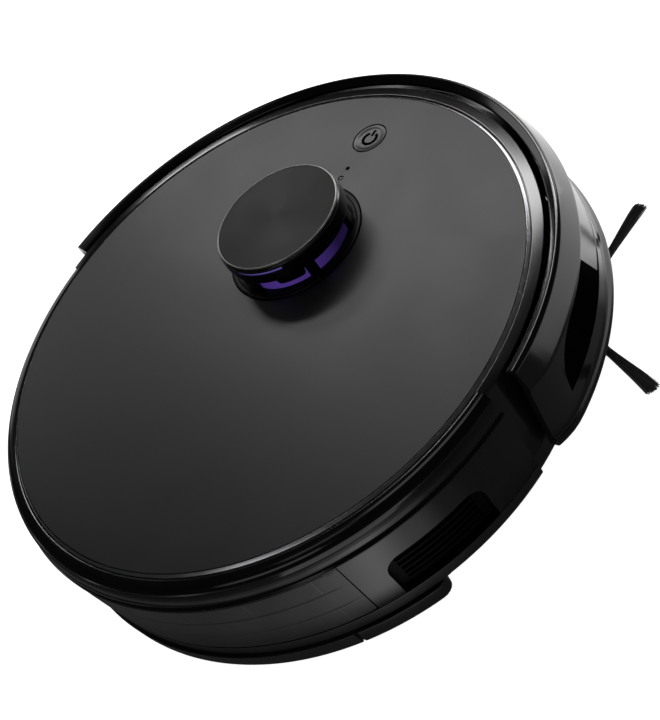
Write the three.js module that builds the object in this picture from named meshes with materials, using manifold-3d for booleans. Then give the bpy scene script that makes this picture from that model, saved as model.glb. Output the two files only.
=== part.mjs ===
// Round robot vacuum with a laser turret, a front bumper, a rear dustbin and a mop plate.
// Millimetres. Front is -Y, the robot's right side is -X, up is +Z, and the floor is z = 0.
// A bearing is an angle in degrees from the front, turning towards the robot's right side.
import * as THREE from 'three';
import { mergeVertices } from 'three/addons/utils/BufferGeometryUtils.js';
import Module from 'manifold-3d';

const wasm = await Module();
wasm.setup();

// ---- Driving dimensions ----
const GAP = 0.3;                 // between fixed neighbours
const RUN = 0.4;                 // round a turning shaft
const WALL = 2.6;
const ROUND = 48;                // sides of the large circles
const MEDIUM = 24;
const SMALL = 14;

const BODY_R = 167.8;            // rear half, side wall
const FRONT_WALL_R = 163.4;      // wall behind the bumper
const PLATE_R = 155;
const PLATE_TOP = 80;
const PLATE_THICK = 2.4;
const SHOULDER_R = 166;          // where the rounded shoulder meets the step in the side
const SHOULDER_Z = 68.5;
const SHOULDER_IN_R = 158.5;
const SHOULDER_TOP = 79.4;
const STEP_Z = 67.2;
const SEAM_Z = 23;               // joint between the base pan and the side shell
const BASE_Z = 11;
const BASE_THICK = 2.4;
const BASE_R = 163;
const FRONT_HALF = 93;           // the recessed front wall reaches this bearing on each side

const TURRET_Y = -45.6;
const BUTTON_Y = -123.3;
const LAMP_Y = -92.5;
const PINHOLE_Y = -99.8;
const BUTTON_R = 10.5;

const BUMPER_END = 88.5;         // bearing of each end
const BUMPER_BOTTOM = 20;
const CREASE_Z = 68.5;           // where its side face turns into the slope up to the rim
const RIM_TOP = 82.8;
// Circles seen from above, each centred a little in front of the body's axis.
const LIP = { shift: 10, r: 175.6 };
const CREASE = { shift: 0.5, r: 177.6 };
const RIM = { shift: 1, r: 170.6 };
const RIM_FOOT = { shift: 2, r: 165 };

const WHEEL = { x: 108, y: 15.5, r: 34, width: 20, rim: 28.6 };
const PIVOT = { y: -35, z: 46, r: 2 };
const ARM_X = [87, 97];          // the suspension arm's inner and outer faces
const BRUSH = { y: 24, z: 21, r: 18, left: 76, right: -80, shaft: 3 };
const MOUTH = { x: [-82, 78], y: [1, 47] };
const SIDE_BRUSH = { x: -124, y: -87.2, reach: 75.5, top: 10.4, arms: [5.2, 116.6, 241] };
const CASTER = { y: -126, r: 11, offset: 3, width: 13 };
const BATTERY = { x: 56, y: [-75, -24], z: [14.2, 50] };
const FAN = { x: [-114, -82], y: 74, z: 42, r: 24 };
const BIN = { neck: 78, y: [55, 104], z: [24, 62], r: 161, half: 52.5 };
const LAP = 0.05;                // degrees that joined sectors share
const MOP = { r: 169.8, y: 76, z: [3.6, 10.7], rim: 15, ledge: 160, latch: [116, 133] };
const VENT = { bearing: [103, 122.3], top: 50.5 };

// ---- Solids ----
const rad = THREE.MathUtils.degToRad;
const at = (bearing, r) => [-r * Math.sin(rad(bearing)), -r * Math.cos(rad(bearing))];

// A closed three.js geometry as a manifold solid, faces turned outward.
function solid(geometry) {
  const bare = new THREE.BufferGeometry().setAttribute('position', geometry.getAttribute('position'));
  bare.setIndex(geometry.index);
  const merged = mergeVertices(bare, 1e-3);
  const p = merged.getAttribute('position');
  const corner = (i) => new THREE.Vector3().fromBufferAttribute(p, i);
  const faces = [];
  let volume = 0;
  for (let i = 0; i < merged.index.count; i += 3) {
    const [a, b, c] = [0, 1, 2].map((k) => merged.index.getX(i + k));
    if (a === b || b === c || c === a) continue;
    faces.push([a, b, c]);
    volume += corner(a).dot(corner(b).cross(corner(c)));
  }
  const outward = volume < 0 ? faces.map(([a, b, c]) => [a, c, b]) : faces;
  const mesh = new wasm.Mesh({
    numProp: 3,
    vertProperties: new Float32Array(p.array),
    triVerts: new Uint32Array(outward.flat()),
  });
  return new wasm.Manifold(mesh);
}

const join = (...parts) => parts.reduce((a, b) => a.add(b));
const cut = (body, ...tools) => tools.reduce((a, b) => a.subtract(b), body);

const disc = (r, z0, z1, x = 0, y = 0, sides = MEDIUM) => solid(
  new THREE.CylinderGeometry(r, r, z1 - z0, sides).rotateX(Math.PI / 2).translate(x, y, (z0 + z1) / 2),
);
const ring = (rIn, rOut, z0, z1, sides = ROUND) => disc(rOut, z0, z1, 0, 0, sides)
  .subtract(disc(rIn, z0 - 1, z1 + 1, 0, 0, sides));
const rod = (r, x0, x1, y, z, sides = SMALL) => solid(
  new THREE.CylinderGeometry(r, r, x1 - x0, sides).rotateZ(Math.PI / 2).translate((x0 + x1) / 2, y, z),
);
const block = ([x0, x1], [y0, y1], [z0, z1]) => solid(
  new THREE.BoxGeometry(x1 - x0, y1 - y0, z1 - z0).translate((x0 + x1) / 2, (y0 + y1) / 2, (z0 + z1) / 2),
);
const pushed = (shape, depth, curveSegments) => new THREE.ExtrudeGeometry(shape, {
  depth, bevelEnabled: false, curveSegments,
});
const prism = (shape, z0, z1, curveSegments = 8) => solid(
  pushed(shape, z1 - z0, curveSegments).translate(0, 0, z0),
);
// An outline drawn in the Y-Z plane, pushed along X.
const plate = (shape, x0, x1, curveSegments = 8) => solid(
  pushed(shape, x1 - x0, curveSegments).rotateX(Math.PI / 2).rotateZ(Math.PI / 2).translate(x0, 0, 0),
);
// A closed outline of [radius, height] points, turned about Z.
function turned(profile, sides = ROUND) {
  const points = profile.map(([r, z]) => new THREE.Vector2(r, z));
  const onAxis = profile[0][0] === 0 && profile[profile.length - 1][0] === 0;
  if (!onAxis) points.push(points[0].clone());
  return solid(new THREE.LatheGeometry(points, sides).rotateX(Math.PI / 2));
}
// A wedge between two bearings, for cutting a sector out of a ring.
function wedge(from, to, z0 = -10, z1 = 120, reach = 260) {
  const shape = new THREE.Shape([new THREE.Vector2(0, 0)]);
  const steps = Math.ceil((to - from) / 20);
  for (let i = 0; i <= steps; i++) shape.lineTo(...at(from + ((to - from) * i) / steps, reach));
  return prism(shape, z0, z1);
}
const sector = (rIn, rOut, z0, z1, from, to) => ring(rIn, rOut, z0, z1).intersect(wedge(from, to));

function roundedRect(w, h, r) {
  const shape = new THREE.Shape();
  shape.absarc(w / 2 - r, h / 2 - r, r, 0, Math.PI / 2);
  shape.absarc(r - w / 2, h / 2 - r, r, Math.PI / 2, Math.PI);
  shape.absarc(r - w / 2, r - h / 2, r, Math.PI, Math.PI * 1.5);
  shape.absarc(w / 2 - r, r - h / 2, r, Math.PI * 1.5, Math.PI * 2);
  return shape;
}
// The outline of a belt round two circles; the second centre lies at (dx, dy).
function beltShape(r1, r2, dx, dy) {
  const lean = Math.atan2(dy, dx);
  const tangent = Math.acos((r1 - r2) / Math.hypot(dx, dy));
  const shape = new THREE.Shape();
  shape.absarc(0, 0, r1, lean + tangent, lean + 2 * Math.PI - tangent);
  shape.absarc(dx, dy, r2, lean - tangent, lean + tangent);
  return shape;
}

// ---- Materials ----
const surface = (color, roughness, metalness = 0) => new THREE.MeshStandardMaterial({
  color, roughness, metalness, flatShading: true,
});
const SKIN = {
  matte: surface(0x1b1b1d, 0.5),
  gloss: surface(0x0a0a0b, 0.15),
  satin: surface(0x2a2c2c, 0.35),
  tank: surface(0x2c3230, 0.4),
  trim: surface(0x8a8a8c, 0.25, 0.8),
  purple: surface(0x3d1f8a, 0.3),
  window: surface(0x050507, 0.08),
  rubber: surface(0x161616, 0.8),
  inner: surface(0x3a3b3d, 0.6),
  board: surface(0x124a2a, 0.5),
  steel: surface(0xb0b0b4, 0.3, 1),
  pad: surface(0x8d9096, 0.95),
  bristle: surface(0x141416, 0.7),
  filter: surface(0xd8dadc, 0.9),
};

function mesh(name, body, material) {
  const { numProp, vertProperties, triVerts } = body.getMesh();
  const corners = new Float32Array(triVerts.length * 3);
  triVerts.forEach((v, i) => corners.set(vertProperties.subarray(v * numProp, v * numProp + 3), i * 3));
  const geometry = new THREE.BufferGeometry();
  geometry.setAttribute('position', new THREE.BufferAttribute(corners, 3));
  geometry.computeVertexNormals();
  const made = new THREE.Mesh(geometry, material);
  made.name = name;
  return made;
}

const SIDES = [['left', 1], ['right', -1]];
const mirrored = (body, side) => (side > 0 ? body : body.mirror([1, 0, 0]));
// A group that holds its meshes at a place in the robot.
function placed(x, y, z, ...meshes) {
  const group = new THREE.Group();
  group.position.set(x, y, z);
  group.add(...meshes);
  return group;
}

// ---- Casing ----
function basePan() {
  const rimTop = SEAM_Z - GAP / 2;
  const top = BASE_Z + BASE_THICK;
  const front = turned([[0, BASE_Z], [BASE_R, BASE_Z], [FRONT_WALL_R, BASE_Z + 1], [FRONT_WALL_R, rimTop],
    [FRONT_WALL_R - WALL, rimTop], [FRONT_WALL_R - WALL, top], [0, top]]);
  const side = turned([[0, BASE_Z], [BASE_R, BASE_Z], [BODY_R, BASE_Z + 4.4], [BODY_R, rimTop],
    [BODY_R - WALL, rimTop], [BODY_R - WALL, BASE_Z + 6], [BASE_R - 3, top], [0, top]]);
  const ledge = MOP.rim + GAP;
  const rear = turned([[0, BASE_Z], [MOP.ledge, BASE_Z], [MOP.ledge, ledge], [BODY_R, ledge],
    [BODY_R, rimTop], [BODY_R - WALL, rimTop], [BODY_R - WALL, ledge + WALL],
    [MOP.ledge - WALL, ledge + WALL], [MOP.ledge - WALL, top], [0, top]]);
  const mopFrom = MOP.latch[0] - 1;
  let pan = join(
    front.intersect(wedge(-FRONT_HALF - LAP, FRONT_HALF + LAP)),
    side.intersect(wedge(FRONT_HALF, 360 - FRONT_HALF)).subtract(wedge(mopFrom + LAP, 360 - mopFrom - LAP)),
    rear.intersect(wedge(mopFrom, 360 - mopFrom)),
  );
  pan = join(pan, ...[-98, -38, 38, 98].map((b) => disc(3.5, BASE_Z + 1, 74.3, ...at(b, 155), SMALL)));
  pan = join(pan, casterSocket(), ...SIDES.flatMap(([, side]) => pivotEars(side)));
  return mesh('base_pan', cut(pan, ...panHoles()), SKIN.satin);
}

function casterSocket() {
  const socket = disc(20, BASE_Z + 1, 36, 0, CASTER.y);
  return cut(socket, disc(17, BASE_Z, 33.6, 0, CASTER.y), disc(4.4, 30, 40, 0, CASTER.y, SMALL));
}

// Two ears that hold the suspension pin, one each side of the arm.
function pivotEars(side) {
  const ear = (x0, x1) => block([x0, x1], [PIVOT.y - 6, PIVOT.y + 6], [BASE_Z + 1, PIVOT.z + 6]);
  const inner = ear(ARM_X[0] - 2.8, ARM_X[0] - RUN);
  const outer = ear(ARM_X[1] + RUN, ARM_X[1] + 2.8);
  const hole = rod(PIVOT.r + 0.2, ARM_X[0] - 5, ARM_X[1] + 5, PIVOT.y, PIVOT.z);
  return [inner, outer].map((body) => mirrored(body.subtract(hole), side));
}

function panHoles() {
  const z = [BASE_Z - 1, BASE_Z + BASE_THICK + 1];
  const holes = [
    block(MOUTH.x, MOUTH.y, z),
    block([-BATTERY.x - 2, BATTERY.x + 2], BATTERY.y, z),
    disc(17, ...z, 0, CASTER.y),
    disc(6, ...z, SIDE_BRUSH.x, SIDE_BRUSH.y, SMALL),
  ];
  for (const [, side] of SIDES) {
    holes.push(mirrored(block([WHEEL.x - 11, WHEEL.x + 12], [WHEEL.y - 37, WHEEL.y + 37], z), side));
    holes.push(mirrored(block([ARM_X[0] - 0.1, ARM_X[1] + 0.1], [PIVOT.y - 12, WHEEL.y + 15], z), side));
    holes.push(mirrored(block([22, 46], [-134.2, -126], z), side));
  }
  for (const bearing of CLIFFS) holes.push(cliffBlock(bearing, 16, 8, ...z));
  return holes;
}

// The shoulder is a quarter of an ellipse, drawn a little fuller than a true one.
function shoulder(steps = 5) {
  const points = [];
  for (let i = 0; i <= steps; i++) {
    const t = (i / steps) * (Math.PI / 2);
    const r = SHOULDER_IN_R + (SHOULDER_R - SHOULDER_IN_R) * Math.max(0, Math.cos(t)) ** 0.7;
    points.push([r, SHOULDER_Z + (SHOULDER_TOP - SHOULDER_Z) * Math.sin(t) ** 0.7]);
  }
  return points;
}

function sideShell() {
  const low = SEAM_Z + GAP / 2;
  const seat = PLATE_TOP - PLATE_THICK - GAP;
  const under = seat - 2.6;
  const lip = PLATE_R + 2.2;
  const seatPoints = [[lip, SHOULDER_TOP - 0.3], [lip, seat], [149, seat], [149, under]];
  const rear = turned([[BODY_R, low], [BODY_R, STEP_Z - 1], [BODY_R - 1, STEP_Z], [SHOULDER_R, STEP_Z],
    ...shoulder(), ...seatPoints, [162, under], [BODY_R - WALL, 66], [BODY_R - WALL, low]]);
  const front = turned([[FRONT_WALL_R, low], [FRONT_WALL_R, PLATE_TOP - 0.4], [lip + 0.4, PLATE_TOP - 0.4],
    ...seatPoints, [FRONT_WALL_R - WALL, under], [FRONT_WALL_R - WALL, low]]);
  const shell = join(
    rear.intersect(wedge(FRONT_HALF, 360 - FRONT_HALF)),
    front.intersect(wedge(-FRONT_HALF - LAP, FRONT_HALF + LAP)),
  );
  const binHalf = BIN.half + 0.3;
  const windows = [wedge(180 - binHalf, 180 + binHalf, SEAM_Z - 1, 66.3)];
  for (const [from, to] of ventSpans(0)) windows.push(wedge(from, to, SEAM_Z - 1, VENT.top));
  for (const bearing of [-SWITCH_BEARING, SWITCH_BEARING]) windows.push(plungerHole(bearing));
  return mesh('side_shell', cut(shell, ...windows), SKIN.gloss);
}

const ventSpans = (extra) => [
  [VENT.bearing[0] - extra, VENT.bearing[1] + extra],
  [360 - VENT.bearing[1] - extra, 360 - VENT.bearing[0] + extra],
];

// Exhaust grilles stand just inside the side shell's two windows.
function exhaustGrilles() {
  return ventSpans(1.6).map(([from, to], i) => {
    const panel = sector(161.8, 164.1, SEAM_Z + 0.4, VENT.top + 2.5, from, to);
    const slots = [0, 1, 2, 3, 4, 5].map((row) => {
      const z = SEAM_Z + 4 + row * 4;
      return sector(160, 166, z, z + 1.8, from + 3.5, to - 3.5);
    });
    return mesh(i === 0 ? 'exhaust_grille_right' : 'exhaust_grille_left', cut(panel, ...slots), SKIN.gloss);
  });
}

function topPlate() {
  const low = PLATE_TOP - PLATE_THICK;
  const face = turned([[0, low], [PLATE_R, low], [PLATE_R, PLATE_TOP - 0.4], [PLATE_R - 0.4, PLATE_TOP],
    [0, PLATE_TOP]]);
  return mesh('top_plate', cut(
    face,
    disc(40.6, 70, 90, 0, TURRET_Y),
    disc(BUTTON_R + 0.5, 70, 90, 0, BUTTON_Y),
    disc(1.6, 70, 90, 0, LAMP_Y, 12),
    disc(1.2, 70, 90, 0, PINHOLE_Y, 12),
  ), SKIN.matte);
}

function trimRing() {
  const low = PLATE_TOP - PLATE_THICK;
  const profile = [[PLATE_R + GAP, low], [PLATE_R + 1.8, low], [PLATE_R + 1.8, PLATE_TOP - 1],
    [PLATE_R + GAP, PLATE_TOP]];
  return mesh('trim_ring', turned(profile), SKIN.trim);
}

function statusLamp() {
  return mesh('status_lamp', disc(1.3, PLATE_TOP - 4, PLATE_TOP - 0.1, 0, LAMP_Y, 12), SKIN.trim);
}

function powerButton() {
  const profile = [[0, -4.6], [BUTTON_R + 2, -4.6], [BUTTON_R + 2, -3.2], [BUTTON_R, -3.2],
    [BUTTON_R, -0.5], [BUTTON_R - 0.6, 0.1], [BUTTON_R - 2.4, -0.3], [0, -0.6]];
  return placed(0, BUTTON_Y, PLATE_TOP, mesh('power_button', turned(profile, MEDIUM), SKIN.matte));
}

// ---- Bumper ----
// Distance from the body's axis to a circle centred `shift` in front of it.
function reachOf({ shift, r }, bearing) {
  const b = rad(bearing);
  return shift * Math.cos(b) + Math.sqrt(r * r - (shift * Math.sin(b)) ** 2);
}

// The bumper's ends are rounded inwards over their last few degrees.
const tuck = (bearing) => 3.2 * Math.max(0, (Math.abs(bearing) - 83) / 5.5) ** 2;

// Radius of the side face, which stands a little behind the crease and the lip.
function faceRadius(bearing, z) {
  const crease = reachOf(CREASE, bearing) - 1.2;
  const lip = reachOf(LIP, bearing) - 2.4;
  return crease + ((lip - crease) * (CREASE_Z - z)) / (CREASE_Z - 26) - tuck(bearing);
}

// One slice of the bumper as [radius, height] points, running up the outside and down the inside.
function bumperSlice(bearing, filled) {
  const lip = reachOf(LIP, bearing) - tuck(bearing);
  const crease = reachOf(CREASE, bearing) - tuck(bearing);
  const crest = reachOf(RIM, bearing);
  const foot = reachOf(RIM_FOOT, bearing);
  const face = (z, depth = 0) => [faceRadius(bearing, z) - depth, z];
  const outside = [[lip - 2, BUMPER_BOTTOM], [lip, BUMPER_BOTTOM + 2], [lip, BUMPER_BOTTOM + 4.5],
    face(28), face(66.5), [crease, CREASE_Z], [crease - 0.5, CREASE_Z + 1.6],
    [crest + 1.2, RIM_TOP - 1.2], [crest, RIM_TOP], [crest - 1.2, RIM_TOP - 0.2],
    [foot + 0.8, RIM_TOP - 2.6], [foot, RIM_TOP - 3.4]];
  const inside = [[foot, RIM_TOP - 5], [crest - 1, RIM_TOP - 3.6], [crease - 4.2, CREASE_Z],
    face(62, 3), face(28, 3), [foot + 0.8, BUMPER_BOTTOM + 2.4], [foot + 0.8, BUMPER_BOTTOM]];
  return filled ? [...outside, [foot, BUMPER_BOTTOM]] : [...outside, ...inside];
}

// Even steps from one bearing to another, both included.
const spread = (from, to, steps) => Array.from(
  { length: steps + 1 }, (_, i) => from + ((to - from) * i) / steps);

// A solid through one slice at each bearing.
function lofted(slice, bearings) {
  const corners = [];
  const index = [];
  const steps = bearings.length - 1;
  const outline = slice(bearings[0]);
  const count = outline.length;
  for (const bearing of bearings) {
    for (const [r, z] of slice(bearing)) corners.push(...at(bearing, r), z);
  }
  for (let i = 0; i < steps; i++) {
    for (let k = 0; k < count; k++) {
      const a = i * count + k;
      const b = i * count + ((k + 1) % count);
      index.push(a, b, a + count, b, b + count, a + count);
    }
  }
  const end = steps * count;
  const flat = (points) => points.map(([r, z]) => new THREE.Vector2(r, z));
  for (const [a, b, c] of THREE.ShapeUtils.triangulateShape(flat(outline), [])) index.push(b, a, c);
  for (const [a, b, c] of THREE.ShapeUtils.triangulateShape(flat(slice(bearings[steps])), [])) {
    index.push(end + a, end + b, end + c);
  }
  const geometry = new THREE.BufferGeometry();
  geometry.setAttribute('position', new THREE.Float32BufferAttribute(corners, 3)).setIndex(index);
  return solid(geometry);
}

// The sensor window is a band round the front whose upper edge curves down at each end.
const WINDOW = { half: 81.8, top: 66, low: 38.5, corner: 8.8, fullness: 2.6 };

// The window's lower and upper edge at a bearing.
function windowEdges(bearing, grow) {
  const inward = (WINDOW.half + grow / 3 - Math.abs(bearing)) / WINDOW.corner;
  const out = 1 - Math.min(1, Math.max(0, inward));
  const rise = (1 - out ** WINDOW.fullness) ** (1 / WINDOW.fullness);
  return [WINDOW.low - grow, WINDOW.low + (WINDOW.top - WINDOW.low) * rise + grow + 0.4];
}

// The band between two depths, measured outwards from the bumper's side face.
function windowBand(grow, behind, front) {
  const half = WINDOW.half + grow / 3;
  const slice = (bearing) => {
    const [low, high] = windowEdges(bearing, grow);
    const [r0, r1] = [faceRadius(bearing, low), faceRadius(bearing, high)];
    return [[r0 + behind, low], [r0 + front, low], [r1 + front, high], [r1 + behind, high]];
  };
  const middle = half - WINDOW.corner;
  const between = spread(-middle, middle, 24).slice(1, -1);
  return lofted(slice, [...spread(-half, -middle, 6), ...between, ...spread(middle, half, 6)]);
}

function bumper() {
  const endWall = 2;
  const inner = BUMPER_END - endWall;
  const main = lofted((b) => bumperSlice(b, false), spread(-inner, inner, 32));
  const ends = SIDES.map(([, side]) => {
    const bearings = side < 0 ? [inner - 1, BUMPER_END] : [-BUMPER_END, 1 - inner];
    return lofted((b) => bumperSlice(b, true), bearings);
  });
  const shell = join(main, ...ends).subtract(windowBand(0.5, -6, 6));
  const window = windowBand(0, -2.4, -0.5);
  return [mesh('bumper_shell', shell, SKIN.gloss), mesh('bumper_window', window, SKIN.window)];
}

const SWITCH_BEARING = 32;
const plungerHole = (bearing) => solid(new THREE.CylinderGeometry(2.2, 2.2, 20, 12)
  .rotateZ(rad(-bearing)).translate(...at(bearing, FRONT_WALL_R), 45));

// Small switches inside the front wall, pressed through it when the bumper moves in.
function bumperSwitches() {
  return SIDES.map(([name, side]) => {
    const bearing = -side * SWITCH_BEARING;
    const box = new THREE.BoxGeometry(16, 8, 10).translate(0, 4, 0);
    const plunger = new THREE.CylinderGeometry(1.6, 1.6, 12, 12).translate(0, -4, 0);
    const made = mesh('bumper_switch_' + name, join(solid(box), solid(plunger)), SKIN.inner);
    made.position.set(...at(bearing, FRONT_WALL_R - WALL - 4), 45);
    made.rotation.z = rad(-bearing);
    return made;
  });
}

// ---- Laser turret; its group stands on the plate's top face ----
const HEAD_GROOVE_R = 20.6;
const PULLEY_GROOVE_R = 4.1;
const TURRET_MOTOR_X = 42;
const POSTS = [0, 60, 118.5, 180, 241.5, 300];
const POST_HALF = 4.8;

function lidarGuard() {
  const foot = turned([[33.5, -2.2], [40, -2.2], [40, 0.2], [38.6, 1], [33.5, 1]]);
  const posts = POSTS.map((b) => sector(33.5, 37.2, 0.5, 11, b - POST_HALF, b + POST_HALF));
  const band = turned([[33.5, 10.5], [37.4, 10.5], [37.9, 12], [37.9, 20], [37.3, 20.6], [33.5, 20.6]]);
  const slit = sector(30, 40, 17.2, 18.8, 138, 190);
  return mesh('lidar_guard', join(foot, ...posts, band).subtract(slit), SKIN.gloss);
}

function lidarCap() {
  const profile = [[0, 18.4], [33, 18.4], [33, 20.9], [36.9, 20.9], [36.9, 21.2], [36.2, 21.8], [0, 21.8]];
  return mesh('lidar_cap', turned(profile, MEDIUM * 2), SKIN.matte);
}

function lidarHead() {
  const profile = [[0, -9.8], [3, -9.8], [3, -7], [22, -7], [22, -6.4], [HEAD_GROOVE_R, -5.9],
    [HEAD_GROOVE_R, -3.9], [22, -3.4], [22, -2.8], [18, -2.8], [18, 0.6], [31.9, 0.6], [31.9, 16.6],
    [0, 16.6]];
  return mesh('lidar_head', turned(profile, MEDIUM), SKIN.purple);
}

const lidarLens = () => mesh('lidar_lens', sector(32.2, 33.1, 3.2, 14, 125, 155), SKIN.window);

function lidarBase() {
  const tray = prism(beltShape(36, 12, TURRET_MOTOR_X, 0), -10, -8, 12);
  return mesh('lidar_base', cut(
    tray,
    disc(3 + RUN, -12, -6, 0, 0, SMALL),
    disc(1.6, -12, -6, TURRET_MOTOR_X, 0, 12),
  ), SKIN.inner);
}

function lidarDrive() {
  const can = disc(8, -22, -10.3, TURRET_MOTOR_X, 0, SMALL);
  const shaft = disc(1, -10.5, -4, TURRET_MOTOR_X, 0, 12);
  const profile = [[1.4, -7], [5.2, -7], [5.2, -6.4], [PULLEY_GROOVE_R, -5.9], [PULLEY_GROOVE_R, -3.9],
    [5.2, -3.4], [5.2, -2.8], [1.4, -2.8]];
  const pulley = mesh('lidar_pulley', turned(profile, SMALL), SKIN.steel);
  pulley.position.x = TURRET_MOTOR_X;
  const loop = (extra, z0, z1) => prism(
    beltShape(HEAD_GROOVE_R + extra, PULLEY_GROOVE_R + extra, TURRET_MOTOR_X, 0), z0, z1, 12);
  const belt = loop(1.3, -5.6, -4.2).subtract(loop(0.3, -6, -4));
  return [mesh('lidar_motor', join(can, shaft), SKIN.steel), pulley, mesh('lidar_belt', belt, SKIN.rubber)];
}

// ---- Wheels ----
function tyre(name) {
  const shape = new THREE.Shape();
  const blocks = 20;
  for (let i = 0; i < blocks; i++) {
    const middle = -Math.PI / 2 + (i / blocks) * 2 * Math.PI;
    for (const [turn, r] of [[-0.34, 32.6], [-0.28, WHEEL.r], [0.28, WHEEL.r], [0.34, 32.6]]) {
      const angle = middle + (turn * 2 * Math.PI) / blocks;
      const y = r * Math.cos(angle);
      const z = r * Math.sin(angle);
      if (i === 0 && turn === -0.34) shape.moveTo(y, z);
      else shape.lineTo(y, z);
    }
  }
  const half = WHEEL.width / 2;
  const body = plate(shape, -half, half).subtract(rod(WHEEL.rim + GAP, -half - 1, half + 1, 0, 0, MEDIUM));
  return mesh(name, body, SKIN.rubber);
}

// The rim, with a dished outer face, spoke holes and an axle stub that runs into the gearbox.
function wheelHub(name, side) {
  const half = WHEEL.width / 2;
  const rim = rod(WHEEL.rim, -half, half, 0, 0, MEDIUM);
  const dish = rod(23, half - 4, half + 1, 0, 0, MEDIUM);
  const hub = rod(7, half - 5, half - 1, 0, 0, SMALL);
  const stub = rod(3, -WHEEL.x + ARM_X[0] + 2, -half + 1, 0, 0, SMALL);
  const holes = [0, 1, 2, 3, 4].map((i) => {
    const angle = (i / 5) * 2 * Math.PI;
    return rod(4.6, -half - 1, half + 1, 15 * Math.cos(angle), 15 * Math.sin(angle), 12);
  });
  return mesh(name, mirrored(join(cut(rim, dish, ...holes), hub, stub), side), SKIN.inner);
}

// The suspension arm is the wheel's gearbox, with its motor on the inner side.
function wheelGearbox(name, side) {
  const dy = PIVOT.y - WHEEL.y;
  const dz = PIVOT.z - WHEEL.r;
  const [inner, outer] = ARM_X.map((x) => x - WHEEL.x);
  const arm = plate(beltShape(13, 8, dy, dz), inner, outer, 10);
  const motor = rod(9, inner - 18, inner + 1, -27, 8, SMALL);
  const bore = (r, y, z) => rod(r + RUN, inner - 2, outer + 2, y, z);
  const body = cut(join(arm, motor), bore(PIVOT.r, dy, dz), bore(3, 0, 0));
  return mesh(name, mirrored(body, side), SKIN.inner);
}

function wheelModules() {
  return SIDES.flatMap(([name, side]) => {
    const pin = rod(PIVOT.r, ARM_X[0] - 4, ARM_X[1] + 4, PIVOT.y, PIVOT.z, 16);
    return [
      placed(side * WHEEL.x, WHEEL.y, WHEEL.r, tyre('tyre_' + name), wheelHub('wheel_hub_' + name, side),
        wheelGearbox('wheel_gearbox_' + name, side)),
      mesh('suspension_pin_' + name, mirrored(pin, side), SKIN.steel),
    ];
  });
}

// ---- Caster; its group stands on the floor below the swivel axis ----
function caster() {
  const slot = CASTER.width / 2 + 0.8;
  const body = join(disc(16, 9.4, 33, 0, 0, MEDIUM), disc(4, 32, 42, 0, 0, SMALL));
  const wheelRoom = block([-slot, slot], [-20, 20], [0, 27]);
  const axleRoom = rod(1.9, -12, 12, CASTER.offset, CASTER.r, 16);
  const ears = SIDES.map(([, side]) => mirrored(block([slot, slot + 4], [-2, 8], [6, 12]), side));
  const fork = cut(join(cut(body, wheelRoom), ...ears), axleRoom);
  const profile = [[2.1, -6.5], [10, -6.5], [CASTER.r, -5], [CASTER.r, 5], [10, 6.5], [2.1, 6.5]];
  const wheel = mesh('caster_wheel', turned(profile, 32), SKIN.rubber);
  wheel.position.set(0, CASTER.offset, CASTER.r);
  wheel.rotation.y = Math.PI / 2;
  return placed(0, CASTER.y, 0,
    mesh('caster_fork', fork, SKIN.inner),
    mesh('caster_axle', rod(1.6, -11.6, 11.6, CASTER.offset, CASTER.r, 16), SKIN.steel),
    wheel);
}

// ---- Main brush ----
function brushRoller() {
  const { y, z, r, left, right, shaft } = BRUSH;
  const core = rod(9, right, left, 0, 0, SMALL);
  const ends = rod(shaft, right - 5, left + 8, 0, 0, 16);
  const fins = [0, 1, 2, 3, 4, 5].map((i) => {
    const fin = block([right + 2, left - 2], [-1.2, 1.2], [7, r]);
    return fin.rotate([i * 60, 0, 0]);
  });
  const roller = mesh('brush_roller', join(core, ends, ...fins), SKIN.bristle);
  roller.position.set(0, y, z);
  return roller;
}

const DUCT = { x: 37, z: [30, 45], y: 54.6 };

function brushHousing() {
  const low = BASE_Z + BASE_THICK + GAP;
  const [left, right] = [MOUTH.x[1] + 1.6, MOUTH.x[0] - 2];
  const outer = block([right, left], [MOUTH.y[0] - 2, MOUTH.y[1] + 2], [low, 46]);
  const inner = block([MOUTH.x[0], MOUTH.x[1] - 0.4], MOUTH.y, [0, 44]);
  const duct = block([-DUCT.x - 2, DUCT.x + 2], [MOUTH.y[1], DUCT.y], [DUCT.z[0] - 2, DUCT.z[1] + 2]);
  const passage = block([-DUCT.x, DUCT.x], [MOUTH.y[1] - 3, DUCT.y + 2], DUCT.z);
  const bearings = rod(BRUSH.shaft + RUN, right - 5, left + 5, BRUSH.y, BRUSH.z, 16);
  return mesh('brush_housing', cut(join(outer, duct), inner, passage, bearings), SKIN.inner);
}

// The bezel under the brush mouth, with a finger tab at each end.
function brushGuard() {
  const centre = (MOUTH.x[0] + MOUTH.x[1]) / 2;
  const middle = (MOUTH.y[0] + MOUTH.y[1]) / 2;
  const frame = prism(roundedRect(172, 56, 5), 8.4, BASE_Z - GAP, 4);
  const hole = prism(roundedRect(156, 43, 3), 7, 12, 3);
  const tabs = [-78, 78].map((x) => block([x - 7, x + 7], [24, 31], [8.4, BASE_Z - GAP]));
  const guard = mesh('brush_guard', cut(join(frame, ...tabs), hole), SKIN.satin);
  guard.position.set(centre, middle, 0);
  return guard;
}

function brushDrive() {
  const dy = FAN.y - BRUSH.y;
  const dz = 38 - BRUSH.z;
  const box = plate(beltShape(6.6, 14, dy, dz), 80.2, 86, 10).translate([0, BRUSH.y, BRUSH.z]);
  const gearbox = box.subtract(rod(BRUSH.shaft + RUN, 75, 90, BRUSH.y, BRUSH.z, 16));
  const motor = join(rod(13, 86.4, 114, FAN.y, 38, MEDIUM), rod(5, 113, 118, FAN.y, 38));
  return [mesh('brush_gearbox', gearbox, SKIN.inner), mesh('brush_motor', motor, SKIN.steel)];
}

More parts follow.
